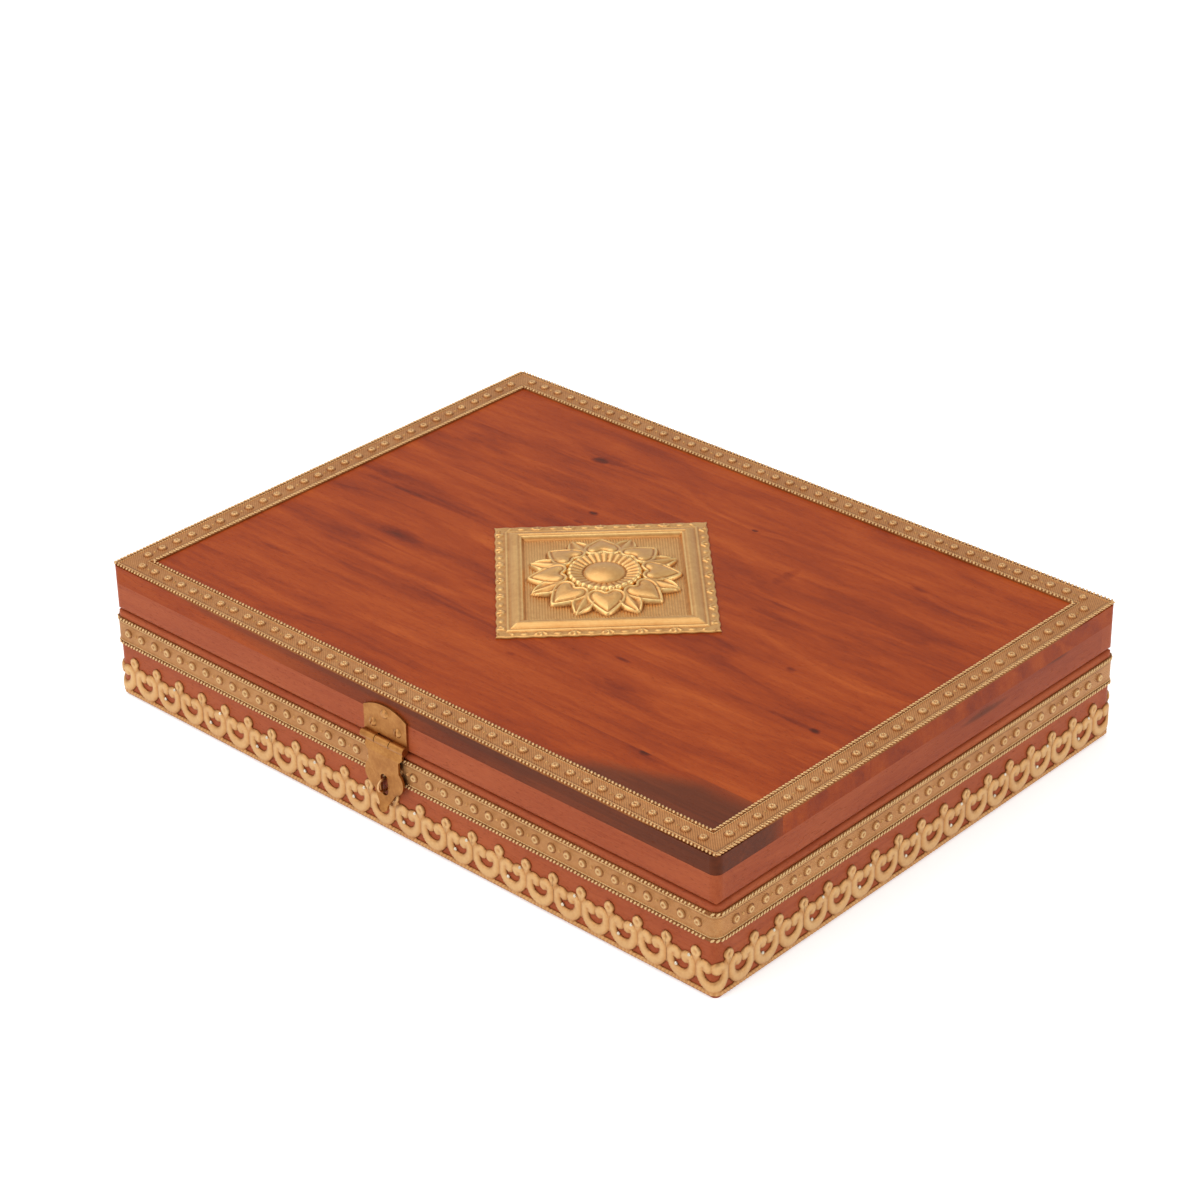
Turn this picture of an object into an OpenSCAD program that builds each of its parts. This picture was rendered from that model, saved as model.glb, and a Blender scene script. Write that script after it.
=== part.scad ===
/* [Case] */
// Length of the case along its front
box_w = 320; // [260:1:420]
// Depth of the case from front to back
box_d = 238; // [200:1:320]
// Height of the base, from its underside to its rim
base_h = 39; // [38:0.5:70]
// Thickness of the base's walls and of the rails under the lid board
wall_t = 9; // [8:0.5:14]
// Thickness of the panel that closes the base below
bottom_t = 5; // [3:0.5:9]
// Radius of the upright corners
corner_r = 3.5; // [2:0.25:6]
// Rounding of the base's rim
rim_r = 1.6; // [0.6:0.1:2]
// Rounding of the lid's lower edge
lid_edge_r = 2.2; // [0.8:0.1:3]
// Rounding of the edge that the case stands on
foot_r = 0.7; // [0.3:0.1:0.8]

/* [Lid] */
// Height of the rails under the lid board
rail_h = 12.3; // [10:0.1:24]
// Thickness of the lid board's planks
board_t = 7.8; // [6:0.2:12]
// Width of the plank along the front edge
front_plank_w = 35.5; // [25:0.5:45]
// Width of the second plank
second_plank_w = 48.5; // [35:0.5:55]
// Width of the third plank, the rear one takes what is left
third_plank_w = 67; // [50:0.5:75]
// Gap between the base's rim and the shut lid
seam_gap = 0.4; // [0.2:0.1:0.8]
// Angle that the lid opens to before its bevel stops it
lid_open = 100; // [80:1:110]

/* [Pressed strip] */
// Width of the pressed brass strip on the lid and round the base
strip_w = 12.5; // [10:0.5:14]
// Thickness of the strip's sheet
strip_t = 0.5; // [0.4:0.1:0.8]
// Width of the corded edge of the strip
cord_w = 1.4; // [1:0.1:2]
// Height of the corded edge over the wood
cord_h = 0.9; // [0.8:0.1:1.2]
// Diameter of the pressed studs
stud_d = 3.6; // [2.5:0.1:5]
// Height of a stud over the sheet
stud_h = 0.8; // [0.4:0.1:1.2]
// Spacing of the studs
stud_pitch = 7.8; // [6:0.1:12]
// Wood left bare between the rim and the strip round the base
band_drop = 2.5; // [2.4:0.1:4]

/* [Pierced gallery] */
// Thickness of the pierced strip
gallery_t = 0.7; // [0.5:0.1:1.2]
// Height of the pierced strip to the tops of its buds
gallery_h = 18.7; // [17:0.1:20]
// Height of the wood left bare under the pierced strip
gallery_lift = 0.9; // [0.9:0.1:2]
// Width of one heart, rounded so that a whole number goes round the case
heart_pitch = 13.75; // [12:0.05:16]
// How far the heart that wraps the front right corner sits towards the front
heart_shift = 1.45; // [-3:0.05:3]
// Height of the line that the hearts stand on
line_h = 2; // [1.2:0.1:2.6]
// Depth that the hearts sink into that line
heart_sink = 0.7; // [0.3:0.1:1]
// Height of a heart's lobes over the strip's lower edge
heart_h = 14.2; // [13:0.1:15]
// Radius of a heart's lobes
lobe_r = 4; // [3.5:0.1:5]
// Radius of the opening in a heart
eye_r = 3.4; // [2.5:0.1:3.8]
// Radius of the two scrolls that hang into the opening
scroll_r = 2.2; // [1.8:0.1:2.6]
// Radius of a bud
bud_r = 2.55; // [2:0.05:3]
// Width of the neck under a bud
neck_w = 3.2; // [2:0.1:4]

/* [Medallion] */
// Side of the square pressed plate
plate_side = 88; // [70:0.5:110]
// Angle that the plate is turned to, as it was laid by hand
plate_turn = 43.7; // [30:0.1:60]
// Place of the plate's centre along the lid
plate_x = -1.8; // [-20:0.1:20]
// Place of the plate's centre across the lid
plate_y = 0.6; // [-20:0.1:20]
// Thickness of the plate's sheet
plate_t = 0.7; // [0.5:0.1:1.2]
// Width of the flat border outside the moulding
border_w = 4.4; // [3:0.1:6]
// Width of the moulding round the panel
moulding_w = 7; // [5:0.1:9]
// Height of the moulding over the sheet
moulding_h = 1.7; // [1:0.1:2.5]
// Number of hearts in the rosette, and of leaves between them
petal_count = 8; // [6:1:8]
// Radius of the rosette at the tips of its petals
rosette_r = 29; // [24:0.5:32]
// Radius of the ribbed ring round the rosette's boss
ring_r = 14.3; // [12:0.1:16]
// Number of ribs in that ring
rib_count = 30; // [20:1:36]
// Radius of the rosette's boss
boss_r = 8; // [6:0.1:9]
// Height of the boss over the sheet
boss_h = 4.8; // [3.6:0.1:6]
// Height of the ribbed ring over the sheet
ring_h = 2.8; // [2:0.1:3.2]
// Height of the heart petals over the sheet
petal_h = 1.8; // [1.4:0.1:1.9]
// Height of the leaves over the sheet
leaf_h = 1.1; // [0.6:0.1:1.2]

/* [Hasp] */
// Place of the hasp along the front
hasp_x = -2.55; // [-40:0.05:40]
// Width of the hasp's fixed leaf and of its barrel
hasp_w = 22.7; // [18:0.1:28]
// Thickness of the hasp's sheet
hasp_t = 1; // [0.8:0.1:1.4]
// Outer radius of the hasp's barrel
barrel_r = 1.7; // [1.6:0.05:2.2]
// Radius of the pin in the barrel
hasp_pin_r = 0.75; // [0.5:0.05:0.9]
// Height of the barrel's axis over the rim of the base
barrel_rise = 2.1; // [2:0.05:3]
// Height of the fixed leaf over the axis, at its sides
leaf_side_h = 11.8; // [11:0.1:13]
// Height of the arch over the leaf's sides
arch_h = 3.3; // [1.5:0.1:3.6]
// Width of the tongue at its shoulders
shoulder_w = 19.6; // [16:0.1:22]
// Width of the tongue's waist
waist_w = 16.2; // [13:0.1:18]
// Width of the tongue at its lobes
tongue_lobe_w = 20.5; // [17:0.1:23]
// Length of the tongue from the axis to its tip
tongue_l = 29.9; // [28:0.1:31]
// Width of the tongue's round tip
tip_w = 4.4; // [3:0.1:6]
// How far the tongue's back stands off the wood
tongue_off = 1.9; // [1.85:0.05:2.6]
// How far the tip is bent out further than the tongue
tip_lift = 2; // [0.5:0.1:3]
// Width of the slot in the tongue
slot_w = 3.8; // [2.6:0.1:5]
// Length of the slot
slot_l = 9.2; // [8:0.1:11]
// Distance of the slot's middle, and of the staple, below the axis
slot_drop = 18.5; // [17:0.1:19]
// Diameter of the staple's wire
wire_d = 1.1; // [0.9:0.1:1.5]
// Height of the staple over its wire
staple_h = 6.1; // [5:0.1:6.4]
// How far the staple stands out of the wood
staple_out = 6.6; // [5.8:0.1:8]
// How deep the staple's legs go into the wood
staple_in = 6; // [4:0.1:7]

/* [Hinges] */
// Length of a hinge
hinge_l = 38; // [30:1:50]
// Distance of each hinge's middle from the middle of the case
hinge_place = 96; // [60:1:105]
// Distance of the hinge axis inside the back of the case
hinge_inset = 1.8; // [1.75:0.05:1.9]
// Outer radius of the hinge's barrel
hinge_barrel_r = 1.7; // [1.5:0.05:1.75]
// Radius of the hinge pin
hinge_pin_r = 0.8; // [0.6:0.05:0.9]
// Thickness of a hinge leaf
hinge_leaf_t = 1.2; // [1:0.05:1.4]
// Reach of a hinge leaf from the axis
hinge_reach = 6.8; // [6:0.1:7]
// Number of barrel pieces in a hinge
knuckle_count = 5; // [3:2:7]

/* [Nails and screws] */
// Diameter of a nail's shank
nail_d = 0.9; // [0.7:0.1:1.1]
// Diameter of a nail's head
nail_head_d = 1.5; // [1.2:0.1:2]
// Height of a nail's head
nail_head_h = 0.5; // [0.3:0.1:0.7]
// Length of a nail under the brass
nail_l = 5; // [3:0.5:6]
// Diameter of a hasp screw's head
screw_head_d = 4; // [3:0.1:4.6]
// Height of a hasp screw's head
screw_head_h = 1.1; // [0.8:0.1:1.3]
// Diameter of a hasp screw's shank
screw_d = 2.2; // [1.8:0.1:2.6]
// Length of a hasp screw under the leaf
screw_l = 7; // [5:0.5:7.5]
// Width of a screw's slot
screw_slot = 0.7; // [0.5:0.1:0.9]
// Diameter of a hinge screw's shank
hinge_screw_d = 1.6; // [1.2:0.1:2]
// Diameter of a hinge screw's countersunk head
hinge_screw_head_d = 3; // [2.4:0.1:3.2]
// Length of a hinge screw under the leaf
hinge_screw_l = 7; // [5:0.5:8]

/* [Clearances] */
// Running clearance of a pin in a turning barrel piece
pin_clear = 0.05; // [0.02:0.01:0.08]
// Gap between neighbouring barrel pieces
knuckle_gap = 0.3; // [0.2:0.05:0.5]
// Room round a barrel in the wood and beside a fixed leaf
barrel_clear = 0.3; // [0.2:0.05:0.5]
// Room round a screw's shank in a leaf
screw_clear = 0.1; // [0.05:0.05:0.2]

/* [Hidden] */
$fn = 48;

wood = "#B4552F";
wood_dark = "#6E3B2A";
pressed_brass = "#D9AE6B";
hasp_brass = "#BE8F4C";
steel = "#C9C7C2";

// Overshoot of a cutting body past the face that it cuts
cut = 1;

// Heights of the case, from the underside up
lid_z = base_h + seam_gap;
board_z = lid_z + rail_h;
lid_top_z = board_z + board_t;
hinge_z = base_h + seam_gap / 2;
hinge_y = box_d / 2 - hinge_inset;
bevel = lid_open / 2 + 0.5;
bevel_h = hinge_inset * tan(bevel);

// Sides in order front, right, back, left: length, and distance of the face from the middle
side_len = [box_w, box_d, box_w, box_d];
side_off = [box_d / 2, box_w / 2, box_d / 2, box_w / 2];

// Way round the wood's face, measured from the middle of the front right corner
quarter = PI * corner_r / 2;
lap = 2 * (box_w + box_d - 4 * corner_r) + 4 * quarter;
hearts = round(lap / heart_pitch);
pitch = lap / hearts;
heart_r = pitch / 2 + 0.02;
corner_facets = 3;

band_z = base_h - band_drop - strip_w / 2;
hasp_z = base_h + barrel_rise;
hasp_y = barrel_r + barrel_clear;
tongue_z = hasp_z - slot_drop;
staple_leg = (staple_h - wire_d) / 2;
knuckle_w = (hasp_w - 2 * knuckle_gap) / 3;
screw_side = hasp_w / 2 - 4.8;
low_screw_z = hasp_z + leaf_side_h / 2;
top_screw_z = hasp_z + leaf_side_h - 0.2;

// Draws its children on side k of the case: x along the side, y up, z out of the face
module on_side(k) {
    rotate([0, 0, 90 * k]) translate([0, -side_off[k], 0]) rotate([90, 0, 0]) children();
}

// Draws its children on the top of the lid: x and y as seen from above, z up
module on_lid() {
    translate([0, 0, lid_top_z]) children();
}

// The part of a square corner that lies outside a rounding of radius r
module corner_waste(r) {
    difference() {
        translate([-cut, -cut]) square(r + cut);
        translate([r, r]) circle(r);
    }
}

// Cross-section of the base or the lid: width w, from z0 to z1, with its lower and upper
// edges rounded on the side that faces minus x
module rounded_edge_section(w, z0, z1, low_r, high_r) {
    difference() {
        translate([-w / 2, z0]) square([w, z1 - z0]);
        if (low_r > 0) translate([-w / 2, z0]) corner_waste(low_r);
        if (high_r > 0) translate([-w / 2, z1]) mirror([0, 1]) corner_waste(high_r);
    }
}

// Wedge behind the hinge axis that lets the lid lean back until its bevel meets the base's
module bevel_wedge() {
    reach = 4 * hinge_inset;
    polygon([[hinge_y, hinge_z],
        [hinge_y + reach, hinge_z - reach * tan(bevel)],
        [hinge_y + reach, hinge_z + reach * tan(bevel)]]);
}

// Solid block of the case between z0 and z1, with its edges rounded and the rear edge bevelled
module case_block(z0, z1, low_r, high_r) {
    intersection() {
        translate([0, 0, z0]) linear_extrude(z1 - z0) plan();
        rotate([90, 0, 90]) linear_extrude(box_w + 2 * cut, center = true) difference() {
            rounded_edge_section(box_d, z0, z1, low_r, high_r);
            bevel_wedge();
        }
        rotate([90, 0, 0]) linear_extrude(box_d + 2 * cut, center = true) intersection() {
            rounded_edge_section(box_w, z0, z1, low_r, high_r);
            mirror([1, 0]) rounded_edge_section(box_w, z0, z1, low_r, high_r);
        }
    }
}

// Outline of the case from above, grown outwards all round
module plan(grow = 0) {
    square([box_w - 2 * corner_r, box_d + 2 * grow], center = true);
    square([box_w + 2 * grow, box_d - 2 * corner_r], center = true);
    for (x = [-1, 1], y = [-1, 1])
        translate([x * (box_w / 2 - corner_r), y * (box_d / 2 - corner_r)]) circle(corner_r + grow);
}

module base_block() { case_block(0, base_h, foot_r, rim_r); }
module lid_block() { case_block(lid_z, lid_top_z, lid_edge_r, 0); }

// Box from one corner to the other
module span_box(low, high) {
    translate(low) cube(high - low);
}

// Keeps what lies in the wall or rail on side k: the long ones run through at the corners
module wall_part(k, z0, z1) {
    inner_w = box_w / 2 - wall_t;
    inner_d = box_d / 2 - wall_t;
    intersection() {
        children();
        if (k == 0) span_box([-box_w, -box_d, z0], [box_w, -inner_d, z1]);
        if (k == 1) span_box([inner_w, -inner_d, z0], [box_w, inner_d, z1]);
        if (k == 2) span_box([-box_w, inner_d, z0], [box_w, box_d, z1]);
        if (k == 3) span_box([-box_w, -inner_d, z0], [-inner_w, inner_d, z1]);
    }
}

// Room in the wood for both hinges: the barrels, and the leaves on the side sign (-1 low, 1 high)
module hinge_pockets(sign) {
    for (x = [-1, 1]) translate([x * hinge_place, hinge_y, hinge_z]) {
        rotate([0, 90, 0])
            cylinder(r = hinge_barrel_r + barrel_clear, h = hinge_l + 2 * barrel_clear, center = true);
        span_box([-hinge_l / 2, -hinge_reach, sign > 0 ? 0 : -seam_gap / 2 - hinge_leaf_t],
            [hinge_l / 2, 0, sign > 0 ? seam_gap / 2 + hinge_leaf_t : 0]);
    }
}

module front_wall() { color(wood) wall_part(0, 0, base_h) base_block(); }
module back_wall() {
    color(wood) difference() {
        wall_part(2, 0, base_h) base_block();
        hinge_pockets(-1);
    }
}
module left_wall() { color(wood) wall_part(3, 0, base_h) base_block(); }
module right_wall() { color(wood) wall_part(1, 0, base_h) base_block(); }
module bottom_panel() {
    color(wood) translate([0, 0, bottom_t / 2])
        cube([box_w - 2 * wall_t, box_d - 2 * wall_t, bottom_t], center = true);
}

module lid_front_rail() { color(wood) wall_part(0, lid_z, board_z) lid_block(); }
module lid_back_rail() {
    color(wood) difference() {
        wall_part(2, lid_z, board_z) lid_block();
        hinge_pockets(1);
    }
}
module lid_left_rail() { color(wood) wall_part(3, lid_z, board_z) lid_block(); }
module lid_right_rail() { color(wood) wall_part(1, lid_z, board_z) lid_block(); }

// One plank of the lid board, between y0 and y1
module plank(y0, y1) {
    intersection() {
        translate([0, 0, board_z]) linear_extrude(board_t) plan();
        span_box([-box_w, y0, board_z - cut], [box_w, y1, lid_top_z + cut]);
    }
}
plank_y = [-box_d / 2, -box_d / 2 + front_plank_w, -box_d / 2 + front_plank_w + second_plank_w,
    -box_d / 2 + front_plank_w + second_plank_w + third_plank_w, box_d / 2];
module lid_front_plank() { color(wood_dark) plank(plank_y[0] - cut, plank_y[1]); }
module lid_second_plank() { color(wood) plank(plank_y[1], plank_y[2]); }
module lid_third_plank() { color(wood) plank(plank_y[2], plank_y[3]); }
module lid_rear_plank() { color(wood) plank(plank_y[3], plank_y[4] + cut); }

// Cross-section of the pressed strip: x out of the wood, y across the strip
module strip_section() {
    translate([0, -strip_w / 2]) square([strip_t, strip_w]);
    for (y = [-1, 1]) translate([0, y * (strip_w - cord_w) / 2]) intersection() {
        translate([cord_h - cord_w / 2, 0]) circle(cord_w / 2);
        translate([0, -cord_w / 2]) square([cord_h, cord_w]);
    }
}

// One round stud on the face of the sheet
module stud() {
    dome_r = (pow(stud_d / 2, 2) + pow(stud_h, 2)) / (2 * stud_h);
    translate([0, 0, strip_t]) rotate_extrude() intersection() {
        translate([0, stud_h - dome_r]) circle(dome_r);
        square([stud_d, stud_h]);
    }
}

// Places of things that repeat at a spacing on a length, centred on it
function spread(len, step) = let (n = floor(len / step)) [for (i = [0:n]) (i - n / 2) * step];

// Strip along a straight run on the x axis: y across it, z out of the wood
module strip_run(len) {
    rotate([0, -90, 0]) mirror([0, 0, 1]) linear_extrude(len, center = true) strip_section();
}

// Strip on one edge of the lid, mitred at both ends, with its row of studs
module lid_strip(k) {
    len = side_len[k];
    on_lid() rotate([0, 0, 90 * k]) translate([0, strip_w / 2 - side_off[k], 0]) {
        intersection() {
            strip_run(len);
            linear_extrude(2 * cord_h, center = true) polygon([[-len / 2, -strip_w / 2],
                [len / 2, -strip_w / 2], [len / 2 - strip_w, strip_w / 2],
                [strip_w - len / 2, strip_w / 2]]);
            translate([0, side_off[k] - strip_w / 2, 0]) rotate([0, 0, -90 * k])
                linear_extrude(4 * cord_h, center = true) plan();
        }
        for (x = spread(len - 1.6 * strip_w, stud_pitch)) translate([x, 0, 0]) stud();
    }
}
module lid_front_strip() { color(pressed_brass) lid_strip(0); }
module lid_right_strip() { color(pressed_brass) lid_strip(1); }
module lid_back_strip() { color(pressed_brass) lid_strip(2); }
module lid_left_strip() { color(pressed_brass) lid_strip(3); }

// The same strip bent round the base
module base_band() {
    color(pressed_brass) for (k = [0:3]) {
        on_side(k) translate([0, band_z, 0]) {
            strip_run(side_len[k] - 2 * corner_r);
            for (x = spread(side_len[k] - 2 * corner_r - stud_pitch, stud_pitch))
                translate([x, 0, 0]) stud();
        }
        rotate([0, 0, 90 * k])
            translate([side_len[k] / 2 - corner_r, corner_r - side_off[k], band_z])
            rotate([0, 0, -90]) rotate_extrude(angle = 90) translate([corner_r, 0]) strip_section();
    }
}

// Outline of one heart with its bud on the right, from the strip's lower edge up
module heart() {
    eye_y = line_h - heart_sink + heart_r + (heart_r - eye_r) / 3.2;
    difference() {
        union() {
            intersection() {
                translate([0, line_h - heart_sink + heart_r]) circle(heart_r);
                translate([-pitch, 0]) square([2 * pitch, heart_h - lobe_r]);
            }
            for (x = [-1, 1]) translate([x * (heart_r - lobe_r), heart_h - lobe_r]) circle(lobe_r);
        }
        difference() {
            intersection() {
                translate([0, eye_y]) circle(eye_r);
                translate([-pitch, 0]) square([2 * pitch, eye_y + 0.3 * eye_r]);
            }
            for (x = [-1, 1])
                translate([x * (scroll_r - 0.3), eye_y + eye_r / 2]) circle(scroll_r);
        }
    }
    translate([pitch / 2, gallery_h - bud_r]) circle(bud_r);
    translate([(pitch - neck_w) / 2, line_h + heart_r / 2])
        square([neck_w, gallery_h - bud_r - line_h - heart_r / 2]);
}

// Row of hearts seen flat, for the stretch of the way round that starts at s and is len long,
// with a little more at both ends
module heart_row(s, len, more) {
    first = floor((s - more + heart_shift) / pitch) - 1;
    last = ceil((s + len + more + heart_shift) / pitch) + 1;
    intersection() {
        translate([-more, -cut]) square([len + 2 * more, gallery_h + 2 * cut]);
        union() {
            translate([-pitch, -cut]) square([len + 2 * pitch, line_h + cut]);
            for (i = [first:last]) translate([i * pitch - heart_shift - s, 0]) heart();
        }
    }
}

// Start of side k's straight stretch on the way round, in the order right, back, left, front
function side_start(k) = k == 1 ? quarter / 2
    : side_start(k == 0 ? 3 : k - 1) + side_len[k == 0 ? 3 : k - 1] - 2 * corner_r + quarter;

// The strip is a ring round the foot of the case. It keeps what lies behind the rows of hearts,
// which are drawn flat on each side and on each facet of the bends
module gallery_strip() {
    facet = 90 / corner_facets;
    facet_len = quarter / corner_facets;
    lap_over = gallery_t;
    color(pressed_brass) translate([0, 0, gallery_lift]) intersection() {
        linear_extrude(gallery_h) difference() {
            plan(gallery_t);
            plan();
        }
        for (k = [0:3]) {
            len = side_len[k] - 2 * corner_r;
            on_side(k) translate([-len / 2, 0, -cut]) linear_extrude(gallery_t + 2 * cut)
                heart_row(side_start(k), len, 0.1);
            rotate([0, 0, 90 * k]) translate([len / 2, corner_r - side_off[k], 0])
                for (i = [0:corner_facets - 1]) rotate([0, 0, facet * (i + 0.5)])
                    translate([-facet_len / 2, -corner_r / 2, 0]) rotate([90, 0, 0])
                    linear_extrude(corner_r)
                    heart_row(side_start(k) + len + i * facet_len, facet_len, lap_over / 2);
        }
    }
}

// Nail that stands on the brass sheet of thickness t, with its shank driven into the wood
module nail(t) {
    head_r = (pow(nail_head_d / 2, 2) + pow(nail_head_h, 2)) / (2 * nail_head_h);
    translate([0, 0, t]) {
        rotate_extrude() intersection() {
            translate([0, nail_head_h - head_r]) circle(head_r);
            square([nail_head_d, nail_head_h]);
        }
        translate([0, 0, -t - nail_l]) cylinder(d = nail_d, h = t + nail_l);
    }
}

// Places of the nails between the studs of a run, at every other gap
function nail_places(len, step) = let (s = spread(len, step)) [for (i = [0:2:len(s) - 2]) (s[i] + s[i + 1]) / 2];

module base_band_nails() {
    color(hasp_brass) for (k = [0:3]) on_side(k) translate([0, band_z, 0])
        for (x = nail_places(side_len[k] - 2 * corner_r - stud_pitch, stud_pitch))
            translate([x, 0, 0]) nail(strip_t);
}
module lid_strip_nails() {
    color(hasp_brass) for (k = [0:3]) on_lid() rotate([0, 0, 90 * k])
        translate([0, strip_w / 2 - side_off[k], 0])
            for (x = nail_places(side_len[k] - 1.6 * strip_w, stud_pitch))
                translate([x, 0, 0]) nail(strip_t);
}
module gallery_nails() {
    color(steel) for (k = [0:3]) {
        len = side_len[k] - 2 * corner_r;
        start = side_start(k);
        first = ceil((start + pitch / 2 + heart_shift) / pitch / 2) * 2;
        last = floor((start + len - pitch / 2 + heart_shift) / pitch);
        on_side(k) translate([-len / 2, gallery_lift, 0]) for (i = [first:2:last])
            translate([i * pitch - heart_shift - start, 0, 0]) {
                translate([-heart_r / 3, line_h + heart_r / 1.35 - 0.2, 0]) nail(gallery_t);
                translate([heart_r * 0.56, heart_h + 0.2 - lobe_r / 4, 0]) nail(gallery_t);
            }
    }
}

// Heart with its point outwards: its lobes at radius r0, its point at r1, and width w
module petal(r0, r1, w) {
    lobe = w / 4 + 0.4;
    centre = r0 + lobe;
    union() {
        for (y = [-1, 1]) translate([centre, y * (w / 2 - lobe)]) circle(lobe);
        polygon([[centre, 0], [centre - lobe * 0.35, w / 2 - lobe * 1.9], [centre + lobe * 0.55, w / 2 - 0.17 * lobe],
            [(centre + r1) / 2 + lobe * 0.6, w / 4], [r1, 0], [(centre + r1) / 2 + lobe * 0.6, -w / 4],
            [centre + lobe * 0.55, 0.17 * lobe - w / 2], [centre - lobe * 0.35, lobe * 1.9 - w / 2]]);
    }
}

// Section of the moulding round the medallion's panel: x inwards from the border, y up
module moulding_section() {
    translate([0, plate_t]) polygon([[0, -plate_t], [0, moulding_h * 0.35],
        [moulding_w * 0.12, moulding_h * 0.6], [moulding_w * 0.24, moulding_h * 0.9],
        [moulding_w * 0.38, moulding_h], [moulding_w * 0.58, moulding_h * 0.9],
        [moulding_w * 0.72, moulding_h * 0.6], [moulding_w * 0.86, moulding_h * 0.55],
        [moulding_w, 0.15 * moulding_h], [moulding_w, -plate_t]]);
}

// Places its children on the lid in the medallion's own frame, turned with the plate
module on_plate() {
    on_lid() translate([plate_x, plate_y, 0]) rotate([0, 0, plate_turn]) children();
}

module medallion() {
    half = plate_side / 2;
    heart_w = 2 * PI * (ring_r + 4) / petal_count * 0.86;
    color(pressed_brass) on_plate() {
        translate([-half, -half, 0]) cube([plate_side, plate_side, plate_t]);
        for (k = [0:3]) rotate([0, 0, 90 * k]) intersection() {
            translate([0, border_w - half, 0]) rotate([90, 0, 90])
                linear_extrude(plate_side, center = true) moulding_section();
            linear_extrude(plate_t + moulding_h)
                polygon([[0, 0], [-half, -half], [half, -half]]);
        }
        for (i = [0:petal_count - 1]) rotate([0, 0, 360 / petal_count * i + 45 - plate_turn]) {
            linear_extrude(plate_t + petal_h * 0.7) petal(ring_r - 0.6, rosette_r, heart_w);
            linear_extrude(plate_t + petal_h) petal(ring_r + 0.8, rosette_r - 2.6, heart_w - 2.6);
            rotate([0, 0, 180 / petal_count]) linear_extrude(plate_t + leaf_h)
                polygon([[ring_r, -heart_w / 3], [rosette_r * 0.9, -heart_w * 0.34],
                    [rosette_r + 0.4, 0], [rosette_r * 0.9, heart_w * 0.34], [ring_r, heart_w / 3]]);
        }
        cylinder(r = ring_r, h = plate_t + ring_h * 0.75);
        for (i = [0:rib_count - 1]) rotate([0, 0, 360 / rib_count * i]) translate([boss_r - 0.5, 0, 0])
            linear_extrude(plate_t + ring_h)
            translate([0, -PI * boss_r / rib_count * 0.55]) square([ring_r - boss_r, 2 * PI * boss_r / rib_count * 0.55]);
        boss_dome();
    }
}

// Domed middle of the rosette, on the ribbed ring
module boss_dome() {
    foot = plate_t + ring_h * 0.75;
    rise = plate_t + boss_h - foot;
    dome_r = (pow(boss_r, 2) + pow(rise, 2)) / (2 * rise);
    rotate_extrude() {
        square([boss_r, foot]);
        intersection() {
            translate([0, foot + rise - dome_r]) circle(dome_r, $fn = 96);
            square([boss_r, foot + rise]);
        }
    }
}

module medallion_nails() {
    reach = plate_side / 2 - border_w / 2;
    color(hasp_brass) on_plate() for (x = [-1:1], y = [-1:1]) if (x != 0 || y != 0)
        translate([x * reach, y * reach, 0]) nail(plate_t);
}

// Hasp pieces are drawn in the hasp's frame: x across it, y up from the axis, z out of the wood
module on_hasp() {
    translate([hasp_x, 0, hasp_z]) translate([0, -box_d / 2, 0]) rotate([90, 0, 0]) children();
}

// Cross-section of the barrel, seen from the side: x out of the wood, y up from the axis
module barrel_section() {
    translate([hasp_y, 0]) circle(barrel_r);
}

// Extrudes a side view across the hasp
module across_hasp() {
    rotate([0, -90, 0]) mirror([0, 0, 1]) linear_extrude(hasp_w + 2 * cut, center = true) children();
}

// The pin's bore through the whole barrel
module barrel_bore(clear) {
    translate([0, 0, hasp_y]) rotate([0, 90, 0])
        cylinder(r = hasp_pin_r + clear, h = hasp_w + 4 * cut, center = true);
}

// Middles of the leaf's three screws in the hasp's frame
screw_at = [[0, top_screw_z - hasp_z], [-screw_side, low_screw_z - hasp_z], [screw_side, low_screw_z - hasp_z]];

// The fixed leaf: a plate with an arched top, whose foot is rolled into the barrel's outer pieces
module hasp_leaf() {
    arch_r = (pow(hasp_w / 2, 2) + pow(arch_h, 2)) / (2 * arch_h);
    low = barrel_r + cut;
    middle_w = knuckle_w + 2 * knuckle_gap;
    color(hasp_brass) on_hasp() difference() {
        intersection() {
            across_hasp() {
                barrel_section();
                square([hasp_t, leaf_side_h + arch_h + cut]);
            }
            linear_extrude(hasp_y + barrel_r + cut) intersection() {
                translate([-hasp_w / 2, -low]) square([hasp_w, low + leaf_side_h + arch_h + cut]);
                translate([0, leaf_side_h + arch_h - arch_r]) circle(arch_r, $fn = 96);
            }
        }
        span_box([-middle_w / 2, -low - cut, -cut], [middle_w / 2, barrel_r + barrel_clear, hasp_y + low + cut]);
        for (p = screw_at) translate([p[0], p[1], -cut]) cylinder(r = screw_d / 2 + screw_clear, h = hasp_t + 2 * cut);
        barrel_bore(0);
    }
}

// Side view of the tongue: x out of the wood, y up from the axis
module tongue_side() {
    straight_top = -5.7;
    straight_low = -22.3;
    back = [[hasp_y - barrel_r * 0.75, -0.4], [hasp_y - barrel_r * 0.7, -1.2], [tongue_off, straight_top],
        [tongue_off, straight_low], [tongue_off + tip_lift * 0.32, (straight_low - tongue_l) / 2],
        [tongue_off + tip_lift, -tongue_l - cut]];
    front = [for (i = [len(back) - 1:-1:0]) back[i] + [hasp_t, i == 2 ? 0.2 : 0]];
    polygon(concat(back, front));
}

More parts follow.
